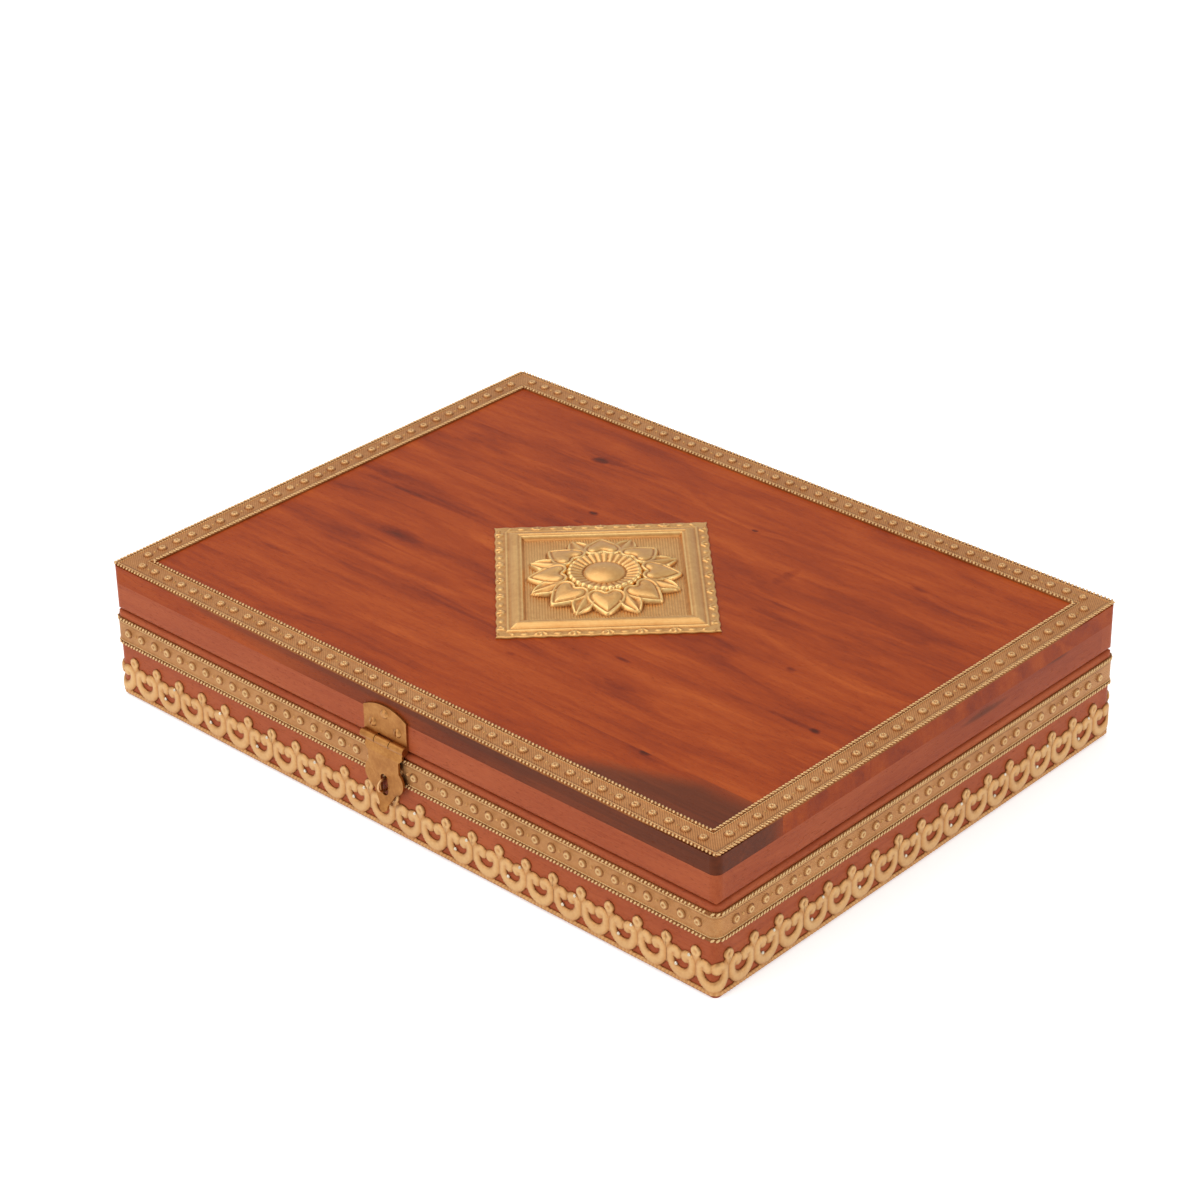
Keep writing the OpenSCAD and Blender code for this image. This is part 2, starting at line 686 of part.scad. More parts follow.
// Front view of the tongue, with its slot. Its shoulders and neck still run on over the barrel
module tongue_front() {
    lobe = 5.75;
    lobe_y = -15.4;
    tip_r = tip_w / 2;
    difference() {
        union() {
            translate([-knuckle_w / 2 - cut, -barrel_r - 2 * cut]) square([knuckle_w + 2 * cut, 2 * barrel_r + cut]);
            polygon([[-shoulder_w / 2, -barrel_r], [shoulder_w / 2, -barrel_r],
                [shoulder_w / 2, -4.6], [waist_w / 2, -6], [waist_w / 2, lobe_y],
                [-waist_w / 2, lobe_y], [-waist_w / 2, -6], [-shoulder_w / 2, -4.6]]);
            for (x = [-1, 1]) translate([x * (tongue_lobe_w / 2 - lobe), lobe_y]) circle(lobe);
            polygon([[-tongue_lobe_w / 2 + 2.2, lobe_y - lobe * 0.7], [-5.4, -21.8],
                [-0.9 * tip_r, 1.2 * tip_r - tongue_l], [0.9 * tip_r, 1.2 * tip_r - tongue_l], [5.4, -21.8],
                [tongue_lobe_w / 2 - 2.2, lobe_y - lobe * 0.7], [0, lobe_y + 2]]);
            translate([0, tip_r - tongue_l]) circle(tip_r);
        }
        translate([0, -slot_drop]) {
            square([slot_w - 0.02, slot_l - slot_w], center = true);
            for (y = [-1, 1]) translate([0, y * (slot_l - slot_w) / 2]) circle(slot_w / 2);
        }
    }
}

// The tongue: a bent plate whose neck is rolled into the barrel's middle piece
module hasp_tongue() {
    reach = tongue_off + tip_lift + 4 * hasp_t;
    color(hasp_brass) on_hasp() difference() {
        union() {
            intersection() {
                across_hasp() tongue_side();
                linear_extrude(reach) tongue_front();
            }
            translate([0, 0, hasp_y]) rotate([0, 90, 0])
                cylinder(r = barrel_r, h = knuckle_w + 2 * cut, center = true);
        }
        // One cut on each side leaves the neck and its barrel piece at the same width
        for (side = [0, 1]) mirror([side, 0, 0])
            span_box([knuckle_w / 2, -barrel_r - barrel_clear, -cut], [hasp_w, barrel_r + cut, reach]);
        barrel_bore(pin_clear);
    }
}

module hasp_pin() {
    color(hasp_brass) on_hasp() translate([0, 0, hasp_y]) rotate([0, 90, 0])
        cylinder(r = hasp_pin_r, h = hasp_w, center = true);
}

// Round-headed slotted screw on the face of the leaf
module round_screw(turn) {
    head_r = (pow(screw_head_d / 2, 2) + pow(screw_head_h, 2)) / (2 * screw_head_h);
    translate([0, 0, hasp_t]) {
        difference() {
            rotate_extrude() intersection() {
                translate([0, screw_head_h - head_r]) circle(head_r);
                square([screw_head_d, screw_head_h]);
            }
            rotate([0, 0, turn]) translate([0, 0, screw_head_h])
                cube([screw_head_d + cut, screw_slot, screw_head_h], center = true);
        }
        translate([0, 0, -hasp_t - screw_l]) cylinder(d = screw_d, h = hasp_t + screw_l);
    }
}
module hasp_screws() {
    turn = [40, 70, 95];
    color(hasp_brass) on_hasp() for (i = [0:2]) translate(screw_at[i]) round_screw(turn[i]);
}

// Staple of bent wire, with its legs driven into the front wall
module staple() {
    nose = staple_out - staple_leg - wire_d / 2;
    color(hasp_brass) translate([hasp_x, 0, tongue_z]) translate([0, -box_d / 2, 0]) {
        translate([0, -nose, 0]) rotate([0, 90, 0]) rotate([0, 0, 180]) rotate_extrude(angle = 180)
            translate([staple_leg, 0]) circle(d = wire_d);
        for (z = [-1, 1]) translate([0, staple_in, z * staple_leg]) rotate([90, 0, 0])
            cylinder(d = wire_d, h = nose + staple_in);
    }
}

// Frame of one hinge: x along its axis, y towards the back, z up, with the axis at the origin
module on_hinge(x) {
    translate([x * hinge_place, hinge_y, hinge_z]) children();
}

knuckle_l = (hinge_l - (knuckle_count - 1) * knuckle_gap) / knuckle_count;
function knuckle_x(i) = (i - (knuckle_count - 1) / 2) * (knuckle_l + knuckle_gap);

// Half of a butt hinge: sign -1 is let into the rim, 1 into the lid's rail. The leaf on the rim
// has the outer barrel pieces and holds the pin
module hinge_half(sign) {
    first = sign < 0 ? 0 : 1;
    clear = sign < 0 ? 0 : pin_clear;
    flat_z = sign * seam_gap / 2;
    color(hasp_brass) difference() {
        union() {
            span_box([-hinge_l / 2, -hinge_reach, min(flat_z, flat_z + sign * hinge_leaf_t)],
                [hinge_l / 2, 0, max(flat_z, flat_z + sign * hinge_leaf_t)]);
            rotate([0, 90, 0]) cylinder(r = hinge_barrel_r, h = hinge_l, center = true);
        }
        // Room for the other half's barrel pieces
        for (i = [1 - first:2:knuckle_count - 1]) translate([knuckle_x(i), 0, 0]) rotate([0, 90, 0])
            cylinder(r = hinge_barrel_r + barrel_clear, h = knuckle_l + 2 * knuckle_gap, center = true);
        for (x = hinge_screw_x) translate([x, -hinge_screw_y, flat_z])
            mirror([0, 0, sign < 0 ? 1 : 0]) hinge_screw_room();
        rotate([0, 90, 0]) cylinder(r = hinge_pin_r + clear, h = hinge_l + 2 * cut, center = true);
    }
}
hinge_screw_x = [-hinge_l / 3, 0, hinge_l / 3];
hinge_screw_y = (hinge_reach + hinge_barrel_r) / 2;

// Countersunk hole in a hinge leaf, from its flat face inwards
module hinge_screw_room() {
    sink = (hinge_screw_head_d - hinge_screw_d) / 2;
    cylinder(d1 = hinge_screw_head_d, d2 = hinge_screw_d, h = sink);
    cylinder(d = hinge_screw_d + 2 * screw_clear, h = hinge_leaf_t + cut);
}

// Countersunk screw, flush with the leaf's flat face
module hinge_screw() {
    sink = (hinge_screw_head_d - hinge_screw_d) / 2;
    difference() {
        union() {
            cylinder(d1 = hinge_screw_head_d, d2 = hinge_screw_d, h = sink);
            cylinder(d = hinge_screw_d, h = hinge_leaf_t + hinge_screw_l);
        }
        rotate([0, 0, 30]) cube([hinge_screw_head_d + cut, screw_slot, screw_slot], center = true);
    }
}

module left_hinge_lower_leaf() { on_hinge(-1) hinge_half(-1); }
module right_hinge_lower_leaf() { on_hinge(1) hinge_half(-1); }
module left_hinge_upper_leaf() { on_hinge(-1) hinge_half(1); }
module right_hinge_upper_leaf() { on_hinge(1) hinge_half(1); }
module hinge_pin(x) {
    color(hasp_brass) on_hinge(x) rotate([0, 90, 0]) cylinder(r = hinge_pin_r, h = hinge_l, center = true);
}
module left_hinge_pin() { hinge_pin(-1); }
module right_hinge_pin() { hinge_pin(1); }
module leaf_screws(sign) {
    color(hasp_brass) for (side = [-1, 1], x = hinge_screw_x) on_hinge(side)
        translate([x, -hinge_screw_y, sign * seam_gap / 2]) mirror([0, 0, sign < 0 ? 1 : 0]) hinge_screw();
}
module lower_leaf_screws() { leaf_screws(-1); }
module upper_leaf_screws() { leaf_screws(1); }

front_wall();
back_wall();
left_wall();
right_wall();
bottom_panel();
base_band();
gallery_strip();
base_band_nails();
gallery_nails();
staple();
left_hinge_lower_leaf();
right_hinge_lower_leaf();
lower_leaf_screws();
left_hinge_pin();
right_hinge_pin();
lid_front_rail();
lid_back_rail();
lid_left_rail();
lid_right_rail();
lid_front_plank();
lid_second_plank();
lid_third_plank();
lid_rear_plank();
lid_front_strip();
lid_right_strip();
lid_back_strip();
lid_left_strip();
lid_strip_nails();
medallion();
medallion_nails();
hasp_leaf();
hasp_screws();
hasp_pin();
left_hinge_upper_leaf();
right_hinge_upper_leaf();
upper_leaf_screws();
hasp_tongue();
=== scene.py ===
"""A low wooden writing slope with pressed-brass edging, a pierced brass gallery, a medallion and a hasp."""
import math

import bpy
import numpy as np
from mathutils import Matrix, Vector


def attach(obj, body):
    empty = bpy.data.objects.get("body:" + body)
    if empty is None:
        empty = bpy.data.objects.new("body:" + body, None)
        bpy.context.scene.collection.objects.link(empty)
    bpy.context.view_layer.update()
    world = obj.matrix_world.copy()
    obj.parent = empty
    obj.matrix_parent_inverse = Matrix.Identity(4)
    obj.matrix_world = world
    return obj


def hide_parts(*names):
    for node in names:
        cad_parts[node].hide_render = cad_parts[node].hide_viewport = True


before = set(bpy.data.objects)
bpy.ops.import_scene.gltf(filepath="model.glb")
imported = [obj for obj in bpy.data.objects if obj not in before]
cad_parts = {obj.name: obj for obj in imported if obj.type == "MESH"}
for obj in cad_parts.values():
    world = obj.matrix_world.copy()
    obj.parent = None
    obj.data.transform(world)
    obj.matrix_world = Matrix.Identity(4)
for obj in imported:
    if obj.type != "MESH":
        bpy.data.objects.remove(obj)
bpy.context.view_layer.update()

# The view. The case is seen from its front right corner, a little from above, with a long lens, and the
# horizon leans by less than a degree.
look_azimuth, look_elevation, look_roll = (math.radians(a) for a in (43.03, 29.25, -0.89))
back = Vector((math.sin(look_azimuth) * math.cos(look_elevation),
               -math.cos(look_azimuth) * math.cos(look_elevation), math.sin(look_elevation)))
level = Vector((0, 0, 1)).cross(back).normalized()
upright = back.cross(level)
right = level * math.cos(look_roll) + upright * math.sin(look_roll)
up = upright * math.cos(look_roll) - level * math.sin(look_roll)
view_from = (0.76497, -0.82352, 0.68136)
camera_data = bpy.data.cameras.new("view")
camera_data.lens, camera_data.sensor_width = 97.7, 36
camera_data.clip_start, camera_data.clip_end = 0.05, 20
camera = bpy.data.objects.new("view", camera_data)
camera.matrix_world = Matrix.Translation(view_from) @ Matrix((right, up, back)).transposed().to_4x4()
bpy.context.collection.objects.link(camera)
bpy.context.scene.camera = camera
bpy.context.scene.view_settings.view_transform = "Standard"

# The table and the light. A white sheet runs under the case, and three very large soft lamps stand round it: one
# overhead to the left, one in front and a weak one at the right, in a white room.
table_size = 12
room_glow, seen_glow = 0.74, 1.0


def mesh_object(name, points, faces, smooth=True):
    """An object from points in metres and faces as lists of point numbers."""
    mesh = bpy.data.meshes.new(name)
    mesh.from_pydata([tuple(p) for p in points], [], [tuple(int(i) for i in f) for f in faces])
    mesh.polygons.foreach_set("use_smooth", [smooth] * len(mesh.polygons))
    mesh.update()
    made = bpy.data.objects.new(name, mesh)
    bpy.context.collection.objects.link(made)
    return made


class Field:
    """A value on a surface. Arithmetic on it adds the Math nodes."""

    def __init__(self, surface, node, output=0):
        self.surface, self.node, self.socket = surface, node, node.outputs[output]

    def out(self, output):
        return Field(self.surface, self.node, output)

    def math(self, operation, *others):
        """The operation on this value and the others, in that order."""
        return self.surface.math(operation, self, *others)

    def __add__(self, other):
        return self.math("ADD", other)

    def __sub__(self, other):
        return self.math("SUBTRACT", other)

    def __rsub__(self, other):
        return self.surface.math("SUBTRACT", other, self)

    def __mul__(self, other):
        return self.math("MULTIPLY", other)

    def __truediv__(self, other):
        return self.math("DIVIDE", other)

    __radd__, __rmul__ = __add__, __mul__

    def above(self, low, high):
        """0 where the value is under low, 1 where it is over high, and a soft step between."""
        return self.surface.node("ShaderNodeMapRange", {"interpolation_type": "SMOOTHSTEP"},
                                 {0: self, 1: low, 2: high, 3: 0, 4: 1})

    def ramp(self, *stops):
        """A colour for the value, from stops of (value, colour)."""
        return self.surface.node("ShaderNodeValToRGB", {"stops": stops}, {0: self})


class Surface:
    """A material that is built round one Principled shader, with places measured in millimetres."""

    def __init__(self, name, **constants):
        self.material = bpy.data.materials.new(name)
        self.material.use_nodes = True
        self.tree = self.material.node_tree
        self.shader = self.tree.nodes["Principled BSDF"]
        for socket, value in constants.items():
            self.shader.inputs[socket.replace("_", " ")].default_value = value
        self.place = self.node("ShaderNodeTexCoord").out("Object")
        self.place = self.scaled(1000)
        parts = self.node("ShaderNodeSeparateXYZ", {}, {0: self.place})
        self.x, self.y, self.z = (parts.out(i) for i in range(3))

    def node(self, kind, settings={}, sockets={}):
        made = self.tree.nodes.new(kind)
        for name, value in settings.items():
            if name == "stops":
                for i, (at, colour) in enumerate(value):
                    stop = made.color_ramp.elements[i] if i < 2 else made.color_ramp.elements.new(at)
                    stop.position, stop.color = at, colour
            else:
                setattr(made, name, value)
        for key, value in sockets.items():
            if isinstance(value, Field):
                self.tree.links.new(value.socket, made.inputs[key])
            else:
                made.inputs[key].default_value = value
        return Field(self, made)

    def math(self, operation, *values):
        return self.node("ShaderNodeMath", {"operation": operation}, dict(enumerate(values)))

    def scaled(self, factor):
        """The place, with its measures multiplied."""
        return self.node("ShaderNodeVectorMath", {"operation": "SCALE"}, {0: self.place, "Scale": factor})

    def vector(self, x, y, z):
        return self.node("ShaderNodeCombineXYZ", {}, {0: x, 1: y, 2: z})

    def noise(self, place, detail=2, roughness=0.5, distortion=0):
        """Cloudy noise round 0.5, with lumps about one unit of place wide."""
        return self.node("ShaderNodeTexNoise", {}, {"Vector": place, "Scale": 1, "Detail": detail,
                                                    "Roughness": roughness, "Distortion": distortion})

    def mix(self, under, over, amount):
        return self.node("ShaderNodeMix", {"data_type": "RGBA"}, {0: amount, 6: under, 7: over}).out(2)

    def finish(self, colour, roughness=None, height=None, depth=0.1):
        """Feeds the shader. The height is in millimetres times the depth."""
        links = [("Base Color", colour), ("Roughness", roughness)]
        if height is not None:
            bump = self.node("ShaderNodeBump", {}, {"Strength": 1, "Distance": 0.001 * depth, "Height": height})
            links.append(("Normal", bump))
        for socket, field in links:
            if field is not None:
                self.tree.links.new(field.socket, self.shader.inputs[socket])
        return self.material


def srgb(red, green, blue):
    """A colour as it is seen, from 0 to 255, for a shader."""
    seen = (c / 255 for c in (red, green, blue))
    return (*(c / 12.92 if c <= 0.04045 else ((c + 0.055) / 1.055) ** 2.4 for c in seen), 1)


half_table = table_size / 2
table = mesh_object("table", [(-half_table, -half_table, 0), (half_table, -half_table, 0),
                              (half_table, half_table, 0), (-half_table, half_table, 0)], [(0, 1, 2, 3)])
paper = Surface("white_paper", Roughness=0.9, Specular_IOR_Level=0.1)
fibres = paper.noise(paper.place, 3)
paper.finish(fibres.ramp((0.3, (0.80, 0.80, 0.80, 1)), (0.7, (0.82, 0.82, 0.82, 1))), height=fibres, depth=0.02)
seen = paper.node("ShaderNodeLightPath")
shown = seen.out("Is Camera Ray") + seen.out("Is Glossy Ray") + seen.out("Is Transmission Ray")
glow = paper.node("ShaderNodeEmission", {}, {"Color": (1, 1, 1, 1), "Strength": 0.5})
lit = paper.node("ShaderNodeAddShader", {}, {0: Field(paper, paper.shader), 1: glow})
white = paper.node("ShaderNodeMixShader", {}, {0: shown.math("MINIMUM", 1),
                                               1: Field(paper, paper.shader), 2: lit})
paper.tree.links.new(white.socket, paper.tree.nodes["Material Output"].inputs["Surface"])
table.data.materials.append(paper.material)

world = bpy.data.worlds.new("studio")
world.use_nodes = True
bpy.context.scene.world = world
sky = world.node_tree
path = sky.nodes.new("ShaderNodeLightPath")
direct = sky.nodes.new("ShaderNodeMath")
direct.operation = "MAXIMUM"
sky.links.new(path.outputs["Is Camera Ray"], direct.inputs[0])
sky.links.new(path.outputs["Is Transmission Ray"], direct.inputs[1])
strength = sky.nodes.new("ShaderNodeMapRange")
strength.inputs["To Min"].default_value, strength.inputs["To Max"].default_value = room_glow, seen_glow
sky.links.new(direct.outputs[0], strength.inputs["Value"])
sky.links.new(strength.outputs[0], sky.nodes["Background"].inputs["Strength"])
sky.nodes["Background"].inputs["Color"].default_value = (1, 1, 1, 1)

for name, place, size, power in (("overhead", (-0.7, -0.2, 1.5), 2.2, 13), ("front", (-0.5, -1.8, 0.9), 1.6, 9),
                                 ("side", (1.7, 0.6, 0.8), 1.2, 6)):
    lamp_data = bpy.data.lights.new(name, "AREA")
    lamp_data.shape, lamp_data.size, lamp_data.energy = "DISK", size, power
    lamp = bpy.data.objects.new(name, lamp_data)
    lamp.matrix_world = Matrix.Translation(place) @ Vector(place).to_track_quat("Z", "Y").to_matrix().to_4x4()
    bpy.context.collection.objects.link(lamp)

# The wooden case: walls, rails and the four planks of the lid, in a reddish hardwood with dark heartwood. It is
# planed, stained a little and polished by hand, so the grain shows under a thin even shine.
polish_roughness, pore_colour = 0.42, srgb(96, 36, 20)
board_stops = ((0.0, srgb(78, 26, 6)), (0.25, srgb(124, 42, 8)), (0.5, srgb(151, 59, 12)),
               (0.75, srgb(170, 76, 24)), (1.0, srgb(194, 102, 42)))
frame_stops = ((0.0, srgb(88, 36, 20)), (0.25, srgb(136, 56, 30)), (0.5, srgb(160, 75, 42)),
               (0.75, srgb(178, 92, 54)), (1.0, srgb(200, 114, 70)))
heart_stops = ((0.1, srgb(54, 26, 12)), (0.55, srgb(96, 46, 24)), (0.9, srgb(130, 60, 32)))


def cover(nodes, material):
    """Lays a material on solids of the frame, in place of what they have."""
    for node in nodes:
        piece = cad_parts[node]
        piece.data.materials.clear()
        piece.data.materials.append(material)


def hardwood(name, nodes, along="x", seed=0.0, tone=0.0, marks=(), heart=None, spread=1.0, stops=frame_stops):
    """Wood whose grain runs along one axis. A mark is (place along, place across, half length, half width,
    darkness), and heart is a function that gives the share of dark heartwood."""
    wood = Surface(name, Coat_Weight=0.02, Coat_Roughness=0.3, Specular_IOR_Level=0.1)
    length, across = (wood.x, wood.y) if along == "x" else (wood.y, wood.x)
    depth = wood.z
    wander = wood.noise(wood.vector(length / 120 + seed, across / 34, depth / 30), 2)
    ragged = wood.noise(wood.vector(length / 9 + seed, across / 4, depth / 6), 3, 0.65)
    dark = None
    for at, side, half_length, half_width, darkness in marks:
        u = (length - at) / half_length + (ragged - 0.5) * 0.9
        v = (across - side) / half_width + (wander - 0.5) * 0.8
        near = (1 - (u * u + v * v)).math("MAXIMUM", 0) * (0.35 + ragged * 1.3)
        dark = near * darkness if dark is None else dark + near * darkness
    ripple = wood.noise(wood.vector(length / 40, across / 9 + seed, depth / 9), 2)
    rings = across * 0.05 + depth * 0.06 + wander * 2.6 + ripple * 0.8 + seed
    if dark is not None:
        rings = rings + dark * 0.8
    bands = wood.node("ShaderNodeTexNoise", {"noise_dimensions": "1D"},
                      {"W": rings, "Scale": 1.9, "Detail": 5, "Roughness": 0.66})
    streaks = wood.noise(wood.vector(length / 60 + seed, across / 2.0, depth / 2.0), 5, 0.66)
    fibres = wood.noise(wood.vector(length / 4, across / 0.32, depth / 0.32), 2, 0.6)
    clouds = wood.noise(wood.vector(length / 75 + 3 * seed, across / 15, depth / 30), 5, 0.62)
    value = (bands - 0.5) * (0.5 * spread) + (streaks - 0.5) * 0.42 + (clouds - 0.5) * (1.0 * spread)
    value = value + (fibres - 0.5) * 0.3 - streaks.above(0.58, 0.72) * 0.16 + (0.51 + tone)
    if dark is not None:
        value = value - dark
    colour = value.ramp(*stops)
    if heart is not None:
        share = heart(wood, length, across, depth, streaks, clouds)
        brown = (streaks * 0.7 + clouds * 0.6 - 0.12).ramp(*heart_stops)
        colour = wood.mix(colour, brown, share)
    pores = wood.noise(wood.vector(length / 2.2, across / 0.26, depth / 0.26), 1)
    pits = pores.above(0.62, 0.74)
    colour = wood.mix(colour, pore_colour, pits * 0.4)
    rough = (streaks - 0.5) * 0.14 + (clouds - 0.5) * 0.16 + pits * 0.2 + polish_roughness
    cover(nodes, wood.finish(colour, rough, streaks * 0.35 + fibres * 0.4 - pits * 0.9, 0.05))


def front_heartwood(wood, length, across, depth, streaks, clouds):
    """Dark heart at the front edge of the board: a faint streak at the left, a broad stain at the right corner, and a
    painted shadow under the edging strip along the top of the front face.
    """
    ragged = (streaks - 0.5) * 10 + (clouds - 0.5) * 22
    reach = (length - 54) / 72
    edge = reach.math("MINIMUM", 1) * 30 - 114.5
    on_top = (edge - across + ragged * 0.8).above(-5, 7) * (length + ragged).above(44, 66)
    drop = (length + 118) / 70
    low_edge = 58.4 - drop.math("MINIMUM", 1) * 8
    # The stain is darkened more along the top of the front face, under the overhang of the edging strip: a painted
    # shadow.
    strength = (length + 130) / 230 + (depth - 57).above(-0.8, 0.8) * 0.3
    on_face = (depth - low_edge + ragged * 0.16).above(-0.8, 1.6) * (length + ragged).above(-124, -104)
    on_face = on_face * strength.math("MINIMUM", 0.95) * (-114 - across).above(0, 2)
    return on_face.math("MAXIMUM", on_top * 0.92)


def side_streaks(wood, length, across, depth, streaks, clouds):
    """Two short dark streaks on the right rail."""
    share = None
    for at, high, half_length in ((34, 48, 16), (80, 51, 9)):
        u, v = (length - at) / half_length, (depth - high + (clouds - 0.5) * 5) / 1.8
        near = (1 - (u * u + v * v)).math("MAXIMUM", 0)
        share = near if share is None else share + near
    return share * (across - 150).above(0, 4) * 0.75


hardwood("front_plank_wood", ["lid_front_plank"], seed=1.7, stops=board_stops, heart=front_heartwood, marks=[
    (96, -84, 3, 2, 0.35), (96, -85, 12, 4, 0.14), (-98, -93, 30, 5, -0.1)])
hardwood("second_plank_wood", ["lid_second_plank"], seed=4.1, tone=0.02, stops=board_stops, marks=[
    (57.7, -55, 8, 5, 0.2), (57.7, -56, 18, 8, 0.1), (10, -65, 3, 1.5, 0.25), (-121, -66.5, 9, 1.6, 0.3),
    (45, -40, 5, 1.2, 0.3), (-20, -80, 40, 6, -0.12), (-90, -45, 16, 3, 0.14)])
hardwood("third_plank_wood", ["lid_third_plank"], seed=7.3, tone=-0.02, stops=board_stops, marks=[
    (97.4, -4, 2.5, 2, 0.3), (-91, -24.5, 14, 4, 0.22), (132, -32, 3, 2, 0.4), (122, -32, 14, 1.5, 0.18),
    (-118, 8, 46, 7, 0.2), (-110, 4, 40, 1.5, 0.18), (-44, 31, 3, 1.6, 0.4), (70, 22, 18, 5, 0.12),
    (-60, -5, 34, 9, -0.1)])
hardwood("rear_plank_wood", ["lid_rear_plank"], seed=9.9, tone=-0.01, stops=board_stops, marks=[
    (-74.5, 77, 5, 3, 0.34), (-70, 81, 8, 5, 0.12), (-44, 40, 3, 2, 0.42), (-52, 38, 12, 3, 0.14),
    (15.8, 72, 2, 1.2, 0.4), (95.5, 77, 5, 3, 0.2), (50, 51, 3, 8, 0.22), (-121, 58, 16, 10, 0.2),
    (60, 95, 50, 6, -0.08)])
hardwood("front_rail_wood", ["lid_front_rail"], seed=2.9, tone=0.08, spread=0.5)
hardwood("back_rail_wood", ["lid_back_rail"], seed=12.3, tone=0.06, spread=0.5)
hardwood("side_rail_wood", ["lid_left_rail", "lid_right_rail"], along="y", seed=5.2, spread=0.6,
         heart=side_streaks)
hardwood("front_wall_wood", ["front_wall"], seed=14.4, tone=0.08, spread=0.5)
hardwood("back_wall_wood", ["back_wall"], seed=16.1, tone=0.06, spread=0.5)
# The side walls are given a lighter tone than the rails, painted light that offsets the shade the table casts close
# under them.
hardwood("side_wall_wood", ["left_wall", "right_wall"], along="y", seed=18.8, tone=0.13, spread=0.6)
hardwood("bottom_wood", ["bottom_panel"], seed=21.5, tone=0.05)

# The pressed-brass edging: thin sheet with a corded edge on both sides and a row of pressed studs between, sold
# by length. Four mitred strips lie on the lid, and one strip is bent round the base under the rim.
case_width, case_depth, corner_radius = 320.0, 238.0, 3.5
lid_top, band_height = 59.5, 30.25
edging_width, edging_sheet, corner_nip = 12.5, 0.5, 1.6
cord_width, cord_pitch, cord_slant = 1.4, 1.7, math.radians(40)
rib_radii, rib_heights, rib_stretch = (0.5, 0.45, 0.26), (0.0, 0.28, 0.46), 2.0
mitre_room, hatch_pitch = 1.6 * edging_width, 1.15
stud_radius, stud_rise, stud_pitch = 1.8, 0.95, 7.8
hand = np.random.default_rng(4)
# The recess colour is painted shade for hollows and the crest colour a painted highlight for raised parts; the body
# colour is the brass itself.
brass_recess, brass_body, brass_crest = (146, 88, 44), (206, 149, 94), (246, 208, 150)


def pressed_brass(name, shade, lines=None, base_roughness=0.5):
    """Thin pressed brass, painted darker in its hollows as painted shade and lighter on its crests as painted
    highlight. The share of crest comes with the mesh, and shade scales the red, green and blue as they are seen."""
    brass = Surface(name, Metallic=1.0, IOR=1.5)
    crest = brass.node("ShaderNodeAttribute", {"attribute_name": "crest"}).out("Fac")
    cloud = brass.noise(brass.scaled(0.05), 3)
    grime = brass.noise(brass.scaled(0.5), 4, 0.65)
    grit = brass.noise(brass.scaled(2.4), 2)
    # The crest share paints shade into the hollows and highlights onto the crests; the cloud and grime noise vary the
    # tarnish.
    painted_light_and_tarnish = crest + (cloud - 0.5) * 0.3 + (grime - 0.5) * 0.45
    colour = painted_light_and_tarnish.ramp(*((at, srgb(*(s * c for s, c in zip(shade, tint)))) for at, tint in (
        (0.0, brass_recess), (0.42, brass_body), (1.0, brass_crest))))
    rough = (grime - 0.5) * 0.2 - crest * 0.08 + base_roughness
    height = grit * 0.6 + grime * 0.6
    if lines is not None:
        height = height + lines(brass)
    return brass.finish(colour, rough, height, 0.06)


def hatching(brass):
    """Fine slanting lines in the field between the cords."""
    slant = (brass.x + brass.y + brass.z * 1.2) * (2 * math.pi / hatch_pitch)
    return slant.math("SINE") * 0.9


class Relief:
    """Gathers the points, faces and crest shares of a pressed piece, in millimetres."""

    def __init__(self):
        self.points, self.faces, self.crests, self.count = [], [], [], 0

    def add(self, points, faces, crests):
        self.points.append(points)
        self.faces.extend([[i + self.count for i in face] for face in faces])
        self.crests.append(np.broadcast_to(crests, len(points)))
        self.count += len(points)

    def piece(self, name, body, material, slot, node):
        made = mesh_object(name, np.concatenate(self.points) * 0.001, self.faces)
        made.data.attributes.new("crest", "FLOAT", "POINT").data.foreach_set("value", np.concatenate(self.crests))
        made.data.materials.append(material)
        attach(made, body)
        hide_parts(node)


def grid_faces(rows, columns, closed=False):
    """Faces of a grid of points stored row by row. A closed grid joins its last column to its first."""
    faces = []
    for row in range(rows - 1):
        for column in range(columns if closed else columns - 1):
            a, b = row * columns + column, row * columns + (column + 1) % columns
            faces.append((a, b, b + columns, a + columns))
    return faces


def cap_shape(radii, heights, segments, stretch=1.0):
    """A low round boss as (points, faces, crest shares), from rings of the given radii and heights."""
    turn = np.linspace(0, 2 * np.pi, segments, endpoint=False)
    rings = [np.stack([r * np.cos(turn), r * stretch * np.sin(turn), np.full(segments, h)], 1)
             for r, h in zip(radii, heights)]
    points = np.concatenate(rings + [np.array([[0, 0, heights[-1]]])])
    faces = grid_faces(len(radii), segments, closed=True)
    last = (len(radii) - 1) * segments
    faces += [(last + i, last + (i + 1) % segments, len(points) - 1) for i in range(segments)]
    crests = np.concatenate([np.full(segments, h) for h in heights] + [[heights[-1]]]) / max(heights)
    return points, faces, crests


def edging_profile():
    """Points across the strip as (place across, height, crest share), from its outer edge to its inner one."""
    half = edging_width / 2
    ridge = half - cord_width - 0.55
    # The crest shares paint shade on the cord's base and in the groove beside it, and a highlight on the ridge.
    side = [(half, 0, 0), (half, 0.4, 0.05), (half - 0.2, edging_sheet + 0.12, 0.05),
            (half - cord_width + 0.2, edging_sheet + 0.12, 0.05), (half - cord_width, edging_sheet - 0.08, 0.0),
            (ridge + 0.3, edging_sheet, 0.3), (ridge, edging_sheet + 0.28, 0.95), (ridge - 0.3, edging_sheet, 0.3)]
    middle = [(w, edging_sheet + 0.04, 0.42) for w in (2.9, 2.2, 0, -2.2, -2.9)]
    return [(-w, h, c) for w, h, c in side] + [(-w, h, c) for w, h, c in middle] + \
        [(w, h, c) for w, h, c in reversed(side)]


